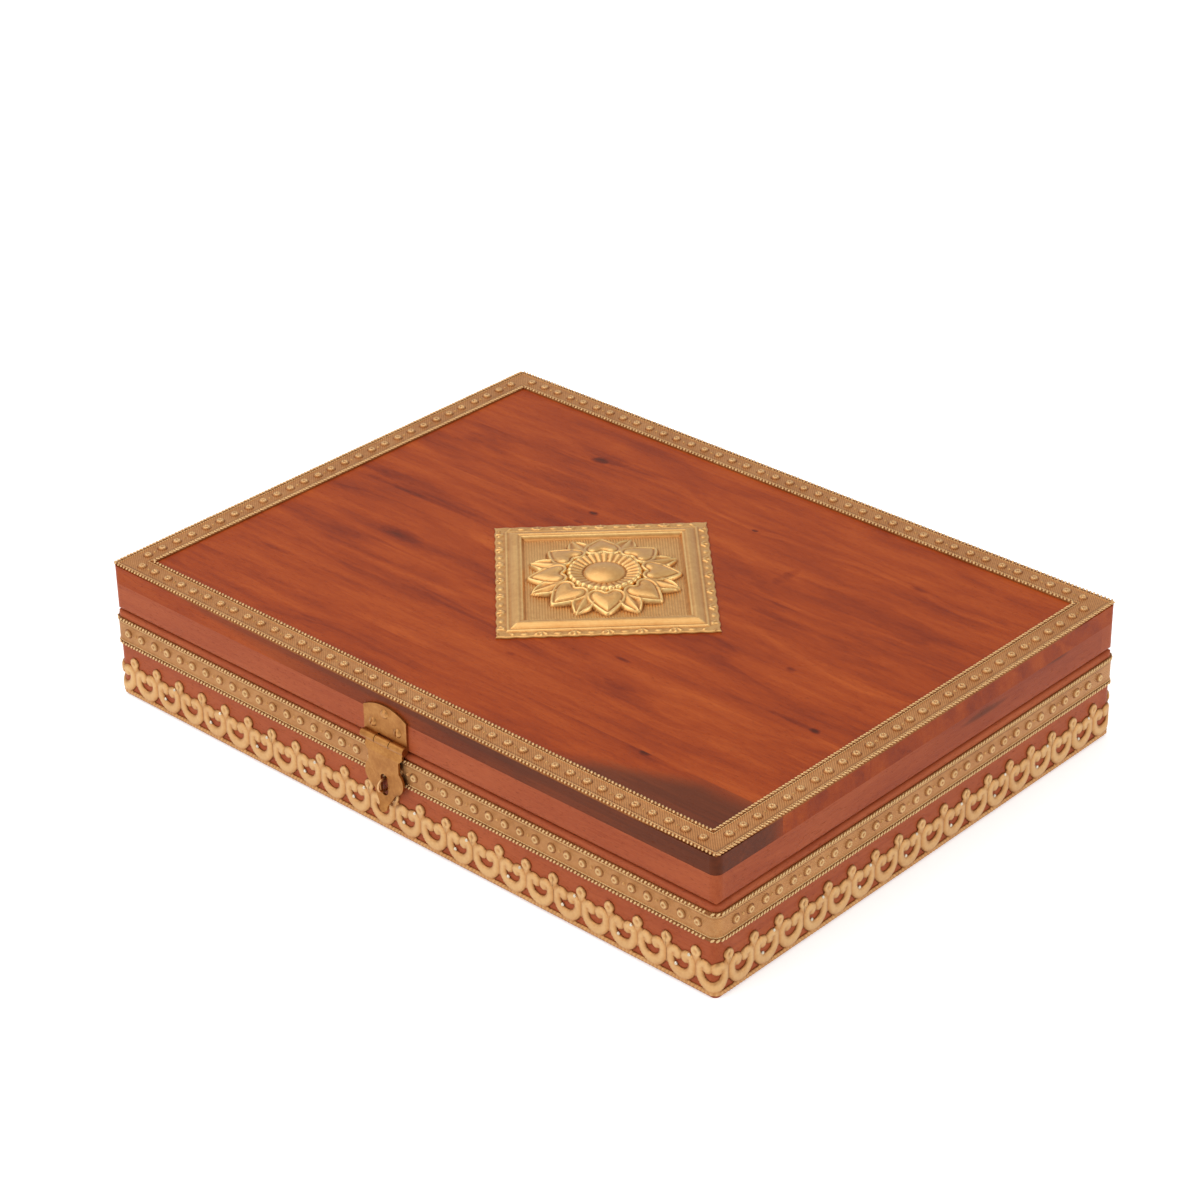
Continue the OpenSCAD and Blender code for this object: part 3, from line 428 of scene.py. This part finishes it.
def edging(relief, place, start, end, stations, slant, mitred=False):
    """Presses one strip and its corded edges. The function place turns (along, across, height) into a point,
    stations are the places along the strip where it may bend, and mitred ends run back at 45 degrees."""
    profile = np.array(edging_profile())
    across, height, crest = profile.T
    half = edging_width / 2
    rows = []
    for s in stations:
        along = np.full(len(across), s)
        if mitred:
            shift = half + across
            along = np.where(s == start, start + shift, np.where(s == end, end - shift, s))
        rows.append(place(along, across, height))
    relief.add(np.concatenate(rows), grid_faces(len(rows), len(across)), np.tile(crest, len(rows)))
    rib = cap_shape(rib_radii, rib_heights, 8, rib_stretch)
    for side in (-1, 1):
        middle = side * (half - cord_width / 2 - 0.02)
        inset = half + middle if mitred else 0
        count = int((end - start - 2 * inset) / cord_pitch)
        for i in range(count):
            s = (start + end) / 2 + (i - (count - 1) / 2) * cord_pitch + hand.normal(0, 0.03)
            lean = slant + hand.normal(0, 0.05)
            x, y, z = rib[0].T
            u = x * math.cos(lean) - y * math.sin(lean)
            v = x * math.sin(lean) + y * math.cos(lean)
            press = 1 + hand.normal(0, 0.08)
            points = place(s + u, np.clip(middle + v, -half, half), edging_sheet + 0.05 + z * press)
            # Each rib is painted lighter towards its top, a painted highlight.
            relief.add(points, rib[1], 0.3 + 0.9 * rib[2])


def studs(relief, place, middle, run):
    """A row of pressed studs, most of them with a shallow dent in the crown."""
    count = int(run / stud_pitch)
    for i in range(count + 1):
        dent = max(0.05, hand.normal(0.28, 0.12))
        size = stud_radius * (1 + hand.normal(0, 0.03))
        radii = [size * r for r in (1.32, 1.14, 1.0, 0.82, 0.6, 0.36, 0.16)]
        heights = [-0.06, 0.07, 0.14, 0.62, stud_rise, stud_rise - 0.5 * dent, stud_rise - dent]
        points, faces, _ = cap_shape(radii, heights, 18)
        # The crest shares paint shade round the foot of each stud and a highlight on the ring of its crown.
        crests = np.append(np.repeat((0.35, 0.1, 0.1, 0.5, 1.1, 0.7, 0.4), 18), 0.3)
        s = middle + (i - count / 2) * stud_pitch + hand.normal(0, 0.12)
        relief.add(place(s + points[:, 0], points[:, 1] + hand.normal(0, 0.08), edging_sheet + points[:, 2]),
                   faces, crests)


def lid_side(side):
    """Side of the lid, 0 front to 3 left: its length and a function for points on its edging."""
    length, reach = ((case_width, case_depth), (case_depth, case_width))[side % 2]
    turn = math.radians(90 * side)

    def place(along, across, height):
        along, across, height = np.broadcast_arrays(along, across, height)
        out = across + edging_width / 2 - reach / 2
        x = along * math.cos(turn) - out * math.sin(turn)
        y = along * math.sin(turn) + out * math.cos(turn)
        # The strip's corners are nipped off to the round corner of the board
        cut = np.maximum(np.abs(x) + np.abs(y) - (case_width + case_depth) / 2 + corner_nip, 0) / 2
        return np.stack([x - np.sign(x) * cut, y - np.sign(y) * cut, lid_top + height], -1)
    return length, place


edging_brass = pressed_brass("lid_edging_brass", (0.91, 0.88, 0.86), hatching)
for side, name in enumerate(("front", "right", "back", "left")):
    strip_length, strip_place = lid_side(side)
    strip = Relief()
    edging(strip, strip_place, -strip_length / 2, strip_length / 2,
           np.linspace(-strip_length / 2, strip_length / 2, 9), cord_slant, mitred=True)
    studs(strip, strip_place, 0.0, strip_length - mitre_room)
    strip.piece(f"{name}_edging", "lid", edging_brass, "pressed_brass", f"lid_{name}_strip")

bend = math.pi * corner_radius / 2
lap = 2 * (case_width + case_depth - 4 * corner_radius) + 4 * bend


def round_case(way, up, out):
    """Point at a way round the case, in millimetres from the middle of the front right corner towards the back,
    at a height, and at a distance out of the wood."""
    way, up, out = np.broadcast_arrays(way, up, out)
    rest = np.mod(way + bend / 2, lap)
    point = np.zeros(rest.shape + (3,))
    point[..., 2] = up
    for corner, (cx, cy, turn, straight) in enumerate((
            (1, -1, -90, case_depth), (1, 1, 0, case_width), (-1, 1, 90, case_depth), (-1, -1, 180, case_width))):
        flat = straight - 2 * corner_radius
        centre_x, centre_y = cx * (case_width / 2 - corner_radius), cy * (case_depth / 2 - corner_radius)
        begin = (0, bend + case_depth - 2 * corner_radius, 2 * bend + case_depth + case_width - 4 * corner_radius,
                 3 * bend + 2 * case_depth + case_width - 6 * corner_radius)[corner]
        local = rest - begin
        on_bend = (local >= 0) & (local < bend)
        angle = math.radians(turn) + np.clip(local / bend, 0, 1) * math.pi / 2
        radius = corner_radius + out
        curved = np.stack([centre_x + radius * np.cos(angle), centre_y + radius * np.sin(angle)], -1)
        last = math.radians(turn + 90)
        run = np.array([-math.sin(last), math.cos(last)])
        straight_on = (local >= bend) & (local < bend + flat)
        along = curved + (local - bend)[..., None] * run
        point[..., :2] = np.where(on_bend[..., None], curved, point[..., :2])
        point[..., :2] = np.where(straight_on[..., None], along, point[..., :2])
    return point


def band_place(along, across, height):
    return round_case(along, band_height + across, height)


side_starts = [bend / 2, bend * 1.5 + case_depth - 2 * corner_radius,
               bend * 2.5 + case_depth + case_width - 4 * corner_radius,
               bend * 3.5 + 2 * case_depth + case_width - 6 * corner_radius]
bends = np.concatenate([[s - bend + bend * k / 5 for k in range(6)] for s in side_starts])
band = Relief()
edging(band, band_place, -bend / 2, lap - bend / 2, np.concatenate([bends, [lap - bend / 2]]), -cord_slant)
for start, flat in zip(side_starts, (case_depth, case_width, case_depth, case_width)):
    run = flat - 2 * corner_radius
    studs(band, band_place, start + run / 2, run - stud_pitch)
# The band is the same brass as the lid strips, given a darker shade on the upright sides of the base as painted shade.
shaded_base_edging_brass = pressed_brass("shaded_base_edging_brass", (0.86, 0.85, 0.84), hatching)
band.piece("base_edging", "base", shaded_base_edging_brass, "pressed_brass", "base_band")

# The gallery: one strip of brass pierced and pressed into hearts with a bud between each two, on a beaded line.
# It is bent round the foot of the case and pinned with small white-metal nails.
gallery_low, gallery_height = 0.9, 18.6
heart_count, heart_shift = 81, 1.45
heart_pitch = lap / heart_count
line_height, heart_top = 2.0, 14.3
bowl_radius, bowl_middle = heart_pitch / 2 + 0.02, 8.17
lobe_radius, lobe_reach = 4.0, heart_pitch / 2 + 0.02
eye_radius, eye_middle, scroll_radius = 3.35, 9.3, 2.2
bud_radius, neck_half = 2.4, 1.9
gallery_sheet, limb_width, limb_rise = 0.3, 1.8, 0.85
limb_beads, line_beads = 34, 8
curl_out, curl_up = 2.7, 10.7
grid_step = 0.38


def disc(x, y, radius):
    """How deep a place is inside a disc, negative outside."""
    return radius - np.hypot(x, y)


def crown(deep, width, rise):
    """Height of a rounded limb at a depth inside its outline."""
    t = np.clip(deep / width, 0, 1)
    return rise * np.sqrt(np.clip(1 - (1 - t) ** 2, 0, 1))


def heart_parts(x, y):
    """Depths inside a heart's limb, the bud, its neck and the line, for places from the middle of the heart."""
    across = np.abs(x)
    bowl = np.minimum(disc(x, y - bowl_middle, bowl_radius), heart_top - lobe_radius - y)
    lobes = disc(across - (lobe_reach - lobe_radius), y - (heart_top - lobe_radius), lobe_radius)
    eye = np.minimum(disc(x, y - eye_middle, eye_radius), eye_middle + 0.3 * eye_radius - y)
    eye = np.minimum(eye, -disc(across - (scroll_radius - 0.3), y - eye_middle - eye_radius / 2, scroll_radius))
    heart = np.minimum(np.maximum(bowl, lobes), -eye)
    side = heart_pitch / 2 - across
    bud = disc(side, y - (gallery_height - bud_radius), bud_radius)
    neck = np.minimum(np.minimum(neck_half - np.abs(side), y - line_height - bowl_radius / 2),
                      gallery_height - bud_radius - y)
    line = np.minimum(line_height - y, y + 0.001)
    return heart, bud, neck, line


def heart_depth(x, y):
    return np.maximum.reduce(heart_parts(x, y))


def heart_height(x, y):
    heart, bud, neck, line = heart_parts(x, y)
    across = np.abs(x)
    high = np.clip((y - eye_middle) / 1.5, 0, 1)
    # Fine beads follow the outer edge of the limb
    turn = np.arctan2(x, y - bowl_middle)
    beading = np.exp(-((heart - 0.75) / 0.3) ** 2) * (1 + np.cos(limb_beads * turn))
    swell = crown(heart, limb_width, limb_rise) - 0.1 * beading
    # The limb curls round the middle of each lobe, and a crease parts the two lobes
    curl = np.hypot(across - curl_out, y - curl_up)
    swell = swell - high * (0.14 * np.exp(-(curl / 0.8) ** 2) + 0.16 * np.exp(-(across / 0.45) ** 2))
    ring = crown(bud, 0.9, limb_rise) - 0.35 * np.clip((bud - 1.3) / 0.6, 0, 1)
    low = crown(neck, 1.2, 0.66) - 0.32 * np.exp(-(heart / 0.4) ** 2)
    # Small beads stand along the rolled line at the foot
    beads = 0.75 + 0.25 * np.cos(2 * np.pi * x / (heart_pitch / line_beads))
    foot = crown(line, 0.8, 0.7) * beads
    return gallery_sheet + np.maximum.reduce([swell, ring, low, foot])


def heart_grid():
    """Points and faces of one heart, cut to the outline, with the numbers of the points on the outline."""
    columns = round(heart_pitch / grid_step)
    rows = round(gallery_height / grid_step)
    x, y = np.meshgrid(np.linspace(-heart_pitch / 2, heart_pitch / 2, columns + 1),
                       np.linspace(0, gallery_height, rows + 1))
    x, y = x.ravel(), y.ravel()
    edge = np.abs(np.abs(x) - heart_pitch / 2) < 1e-6
    cell = heart_pitch / columns
    step = 0.01
    for turn in range(3):
        deep = heart_depth(x, y)
        gx = (heart_depth(x + step, y) - heart_depth(x - step, y)) / (2 * step)
        gy = (heart_depth(x, y + step) - heart_depth(x, y - step)) / (2 * step)
        gx = np.where(edge, 0, gx)
        size = np.maximum(gx ** 2 + gy ** 2, 0.05)
        close = np.abs(deep) < cell * 0.62
        x = np.where(close, x - gx * deep / size, x)
        y = np.where(close, np.clip(y - gy * deep / size, 0, gallery_height), y)
    deep = heart_depth(x, y)
    inside = deep > -0.02
    faces = [f for f in grid_faces(rows + 1, columns + 1) if all(inside[i] for i in f)]
    used = sorted({i for f in faces for i in f})
    number = {old: new for new, old in enumerate(used)}
    faces = [tuple(number[i] for i in f) for f in faces]
    x, y = x[used], y[used]
    sides = {}
    for face in faces:
        for a, b in zip(face, face[1:] + face[:1]):
            sides[(a, b)] = True
    rim = [(a, b) for a, b in sides if (b, a) not in sides]
    rim = [(a, b) for a, b in rim if not (abs(abs(x[a]) - heart_pitch / 2) < 1e-4
                                          and abs(abs(x[b]) - heart_pitch / 2) < 1e-4)]
    return x, y, faces, rim


gallery = Relief()
heart_x, heart_y, heart_faces, heart_rim = heart_grid()
heart_rise = heart_height(heart_x, heart_y)
rim_points = sorted({i for side in heart_rim for i in side})
rim_number = {i: len(heart_x) + k for k, i in enumerate(rim_points)}
skirt = [(b, a, rim_number[a], rim_number[b]) for a, b in heart_rim]
foot_x, foot_y = heart_x[rim_points], heart_y[rim_points]
# The crest share paints shade on the low parts of the gallery and on its cut edges, and a highlight on its raised
# limbs.
crest = 0.22 + 0.46 * np.clip((heart_rise - 0.35) / 0.8, 0, 1)
for i in range(heart_count):
    middle = i * heart_pitch - heart_shift
    sway = 1 + 0.06 * math.sin(1.7 * i)
    upper = round_case(middle + heart_x, gallery_low + heart_y, heart_rise * sway)
    lower = round_case(middle + foot_x, gallery_low + foot_y, 0.0)
    gallery.add(np.concatenate([upper, lower]), heart_faces + skirt,
                np.concatenate([crest, np.zeros(len(foot_x))]))
gallery_brass = pressed_brass("gallery_brass", (0.91, 0.92, 0.92))
gallery.piece("heart_gallery", "base", gallery_brass, "pressed_brass", "gallery_strip")

# The medallion: a square of pressed brass turned on its corner and pinned to the lid. A scalloped border of small
# fans runs round a broad moulding, and a rosette of hearts and leaves stands on a ribbed ground.
plate_long, plate_wide, plate_turn, plate_x, plate_y = 43.35, 45.0, math.radians(44.6), -2.6, 1.6
plate_step = 0.36
fan_pitch, fan_root, fan_radius, fan_lean = 12.9, 4.1, 3.7, 0.72
knob_half, knob_inset = 1.5, 2.2
ground_pitch, ground_reach, ground_rise = 1.1, (31.4, 32.2), 0.75
rosette_rim = 1.9
rosette_hearts, ring_ribs = 8, 30
boss_radius, ring_radius = 8.4, 14.9
ring_profile = ((8.8, 2.1), (13.6, 3.3), (15, 3.1))
leaf_widths = ((17, 4.4), (25.5, 4.6), (31.8, 0.6))
moulding = ((0, 0.55), (0.5, 0.75), (4.2, 0.75), (4.5, 1.25), (4.9, 1.3), (5.3, 1.05), (5.8, 1.15), (6.8, 1.75),
            (8.0, 2.25), (9.0, 2.4), (9.6, 2.2), (9.9, 2.0), (10.3, 2.15), (10.7, 2.1), (11.1, 1.5), (11.6, 0.9),
            (12.2, ground_rise), (60, ground_rise))
heart_side = ((16.4, 0), (15.2, 1.0), (14.3, 3.2), (14.7, 5.6), (16.4, 7.4), (18.9, 8.1), (21.6, 7.6), (24.4, 6.1),
              (27, 4.2), (29.2, 2.4), (30.6, 1.0), (30.9, 0))
leaf_side = ((17, 0), (17, 3.8), (22, 4.7), (25.5, 4.7), (28.2, 3.6), (30.4, 1.9), (31.8, 0.4), (32, 0))


def rounded_outline(half):
    """A closed outline from the points of one half, mirrored, with its corners cut off twice."""
    outline = np.array(list(half) + [(a, -b) for a, b in reversed(half) if b > 0])
    for turn in range(2):
        after = np.roll(outline, -1, 0)
        outline = np.stack([0.75 * outline + 0.25 * after, 0.25 * outline + 0.75 * after], 1).reshape(-1, 2)
    return outline


def outline_depth(x, y, outline):
    """Depth inside a closed outline, negative outside."""
    near, inside = np.full(x.shape, 1e9), np.zeros(x.shape, bool)
    for (x0, y0), (x1, y1) in zip(outline, np.roll(outline, -1, 0)):
        dx, dy = x1 - x0, y1 - y0
        share = np.clip(((x - x0) * dx + (y - y0) * dy) / (dx * dx + dy * dy + 1e-12), 0, 1)
        near = np.minimum(near, np.hypot(x - x0 - share * dx, y - y0 - share * dy))
        inside ^= ((y0 > y) != (y1 > y)) & (x < x0 + dx * (y - y0) / (dy if dy else 1e-9))
    return np.where(inside, near, -near)


def folded(angle, count):
    """An angle from the middle of the nearest of a count of like sectors."""
    sector = 2 * np.pi / count
    return np.mod(angle + sector / 2, sector) - sector / 2


def medallion_height(u, v):
    """Height over the lid at a place on the plate, in the plate's own directions."""
    inset_u, inset_v = plate_long - np.abs(u), plate_wide - np.abs(v)
    inset = np.minimum(inset_u, inset_v)
    ground = np.interp(inset, *zip(*moulding))
    # The border has fans of three ribs, with a bump half way between each two
    along = np.where(inset_u < inset_v, v, u) / fan_pitch
    fan = (np.mod(along + 0.5, 1) - 0.5) * fan_pitch
    out = fan_root - inset
    far, spread = np.hypot(fan, out), np.arctan2(fan, np.maximum(out, 0.02))
    window = np.clip((far - 0.4) / 0.7, 0, 1) * np.clip((fan_radius - far) / 0.5, 0, 1) * (out > 0)
    ribs = sum(np.exp(-((spread - lean) * far / 0.5) ** 2) for lean in (-fan_lean, 0, fan_lean))
    bump = (np.mod(along, 1) - 0.5) * fan_pitch
    knob = np.sqrt(np.clip(1 - (bump / knob_half) ** 2 - (inset - knob_inset) ** 2, 0, 1))
    off_corner = np.clip((np.maximum(inset_u, inset_v) - 5.0) / 1.5, 0, 1)
    ground = ground + (0.42 * ribs * window + 0.32 * knob) * off_corner
    radius, angle = np.hypot(u, v), np.arctan2(v, u) + plate_turn
    # Leaves with a fold down the middle and a rim lie between and under the hearts
    turn = folded(angle + np.pi / rosette_hearts, rosette_hearts)
    a, b = radius * np.cos(turn), radius * np.sin(turn)
    deep = outline_depth(a, b, rounded_outline(leaf_side))
    share = np.abs(b) / np.interp(a, *zip(*leaf_widths))
    fold = 0.42 * np.cos(2 * np.pi * share) + 0.3
    leaf = ground_rise + np.clip(deep / 0.6, 0, 1) ** 0.5 * (np.interp(a, (17, 31.5), (2.4, 0.75)) + fold)
    leaf = np.where(deep > 0, leaf, 0)
    # Hearts with a raised rim round a soft pillow, their lobes at the ribbed ring
    turn = folded(angle, rosette_hearts)
    a, b = radius * np.cos(turn), radius * np.sin(turn)
    deep = outline_depth(a, b, rounded_outline(heart_side))
    rim = 0.4 * np.sin(np.pi * np.clip(deep / 1.7, 0, 1)) - 0.12 * np.exp(-((deep - rosette_rim) / 0.25) ** 2)
    pillow = 1.1 * np.sqrt(np.clip(1 - (1 - np.clip((deep - rosette_rim) / 3.6, 0, 1)) ** 2, 0, 1))
    heart = ground_rise + np.clip(deep / 0.5, 0, 1) ** 0.5 * (np.interp(a, (14.5, 31), (3.0, 0.8)) + rim + pillow)
    heart = np.where(deep > 0, heart, 0)
    # Ribbed ring, dished towards the smooth boss
    flute = np.sqrt(np.abs(np.cos(angle * ring_ribs / 2)))
    edge = ring_radius - 0.5 + 0.7 * flute
    ring = 0.7 + np.interp(radius, *zip(*ring_profile)) + 0.7 * flute
    ring = ring - 1.4 * np.clip((radius - edge + 1.1) / 1.1, 0, 1) ** 2
    ring = np.where((radius < edge) & (radius > boss_radius), ring, 0)
    boss = 3.0 + 2.5 * np.clip(1 - (radius / boss_radius) ** 2, 0, 1) ** 0.62
    boss = np.where(radius < boss_radius + 0.6, boss, 0) + 0.2 * np.exp(-(radius / 0.4) ** 2)
    return np.maximum.reduce([ground, leaf, heart, np.where(radius > boss_radius + 0.5, ring, 0), boss])


def plate_point(u, v, height):
    """Point of the lid for a place on the plate."""
    x = plate_x + u * math.cos(plate_turn) - v * math.sin(plate_turn)
    y = plate_y + u * math.sin(plate_turn) + v * math.cos(plate_turn)
    return np.stack([x, y, lid_top + height], -1)


def ground_lines(brass):
    """Fine lines pressed into the ground, parallel to two sides of the plate."""
    across = brass.x * math.cos(plate_turn) + brass.y * math.sin(plate_turn)
    wave = (across * (2 * math.pi / ground_pitch)).math("SINE")
    beside_x, beside_y = brass.x - plate_x, brass.y - plate_y
    u = beside_x * math.cos(plate_turn) + beside_y * math.sin(plate_turn)
    v = beside_y * math.cos(plate_turn) - beside_x * math.sin(plate_turn)
    far = u.math("ABSOLUTE").math("MAXIMUM", v.math("ABSOLUTE"))
    low = 1 - (brass.z - lid_top).above(0.85, 1.0)
    return wave * low * (1 - far.above(*ground_reach)) * 1.5


across_u, across_v = (np.linspace(-half, half, round(2 * half / plate_step) + 1) for half in (plate_long, plate_wide))
place_u, place_v = np.meshgrid(across_u, across_v)
plate_rise = medallion_height(place_u, place_v)
near_u, near_v = plate_long - np.abs(place_u), plate_wide - np.abs(place_v)
on_side = near_u < near_v
edge_share = np.clip(1 - np.minimum(near_u, near_v) / 2.0, 0, 1)
scallop = 0.2 * np.cos(4 * np.pi * np.where(on_side, place_v, place_u) / fan_pitch) - 0.2
drawn_u = place_u + np.sign(place_u) * on_side * scallop * edge_share
drawn_v = place_v + np.sign(place_v) * ~on_side * scallop * edge_share
plate = Relief()
plate_points = plate_point(drawn_u.ravel(), drawn_v.ravel(), plate_rise.ravel())
rows, columns = place_u.shape
border = ([i for i in range(columns)] + [i * columns + columns - 1 for i in range(1, rows)] +
          [(rows - 1) * columns + i for i in range(columns - 2, -1, -1)] +
          [i * columns for i in range(rows - 2, 0, -1)])
foot = plate_points[border].copy()
foot[:, 2] = lid_top
skirt = []
for k in range(len(border)):
    after = (k + 1) % len(border)
    skirt.append((border[after], border[k], len(plate_points) + k, len(plate_points) + after))
# The crest share is painted shade in the medallion's hollows and painted highlight on its ridges, from the relief less
# a blurred copy of it; its cut edge is painted darker too.
blur = plate_rise.copy()
for turn in range(6):
    blur = (blur + np.roll(blur, 1, 0) + np.roll(blur, -1, 0) + np.roll(blur, 1, 1) + np.roll(blur, -1, 1)) / 5
plate_crest = np.clip(0.55 + (plate_rise - blur) * 1.4, 0, 1)
plate.add(np.concatenate([plate_points, foot]), grid_faces(rows, columns) + skirt,
          np.concatenate([plate_crest.ravel(), np.full(len(foot), 0.2)]))
medallion_brass = pressed_brass("medallion_brass", (0.97, 0.96, 0.88), ground_lines, 0.42)
plate.piece("rosette_plate", "lid", medallion_brass, "pressed_brass", "medallion")

# The hasp, the hinges and their screws: plain rolled brass, darker than the pressed sheet, scratched and dulled
# by use. The gallery's pins are of white metal.
def plain_metal(name, nodes, dark, light, bright, base_roughness=0.34):
    metal = Surface(name, Metallic=1.0)
    cloud = metal.noise(metal.scaled(0.16), 4, 0.6)
    spots = metal.noise(metal.scaled(0.9), 3, 0.7)
    scratch = metal.noise(metal.vector(metal.x * 6 + metal.z * 2, metal.y * 6, metal.z * 0.5 - metal.x * 0.15), 2)
    value = (cloud - 0.5) * 0.8 + (spots - 0.5) * 0.5 + (scratch - 0.5) * 0.35 + 0.5
    colour = value.ramp((0.05, dark), (0.5, light), (1.0, bright))
    rough = base_roughness + (0.5 - cloud) * 0.25 + (spots - 0.5) * 0.15
    cover(nodes, metal.finish(colour, rough, spots * 0.5 + scratch * 0.6, 0.04))


plain_metal("hasp_brass", ["hasp_leaf", "hasp_tongue", "hasp_pin"],
            srgb(120, 72, 36), srgb(162, 109, 57), srgb(196, 146, 84), 0.42)
plain_metal("screw_brass", ["hasp_screws"], srgb(126, 78, 42), srgb(176, 124, 72), srgb(212, 164, 108), 0.4)
# The staple's wire is given paler colours than the hasp, a painted highlight that lets it show bright in the shade of
# the tongue.
plain_metal("wire_brass", ["staple"], srgb(150, 100, 58), srgb(204, 156, 106), srgb(236, 200, 152), 0.34)
plain_metal("hinge_brass", ["left_hinge_lower_leaf", "right_hinge_lower_leaf", "left_hinge_upper_leaf",
                            "right_hinge_upper_leaf", "left_hinge_pin", "right_hinge_pin",
                            "lower_leaf_screws", "upper_leaf_screws"],
            srgb(132, 88, 46), srgb(184, 136, 80), srgb(216, 172, 112))
plain_metal("nail_brass", ["base_band_nails", "lid_strip_nails", "medallion_nails"],
            srgb(140, 94, 54), srgb(182, 134, 84), srgb(214, 170, 116), 0.42)
plain_metal("nail_white_metal", ["gallery_nails"], srgb(150, 138, 118), srgb(206, 194, 172), srgb(236, 228, 212), 0.34)
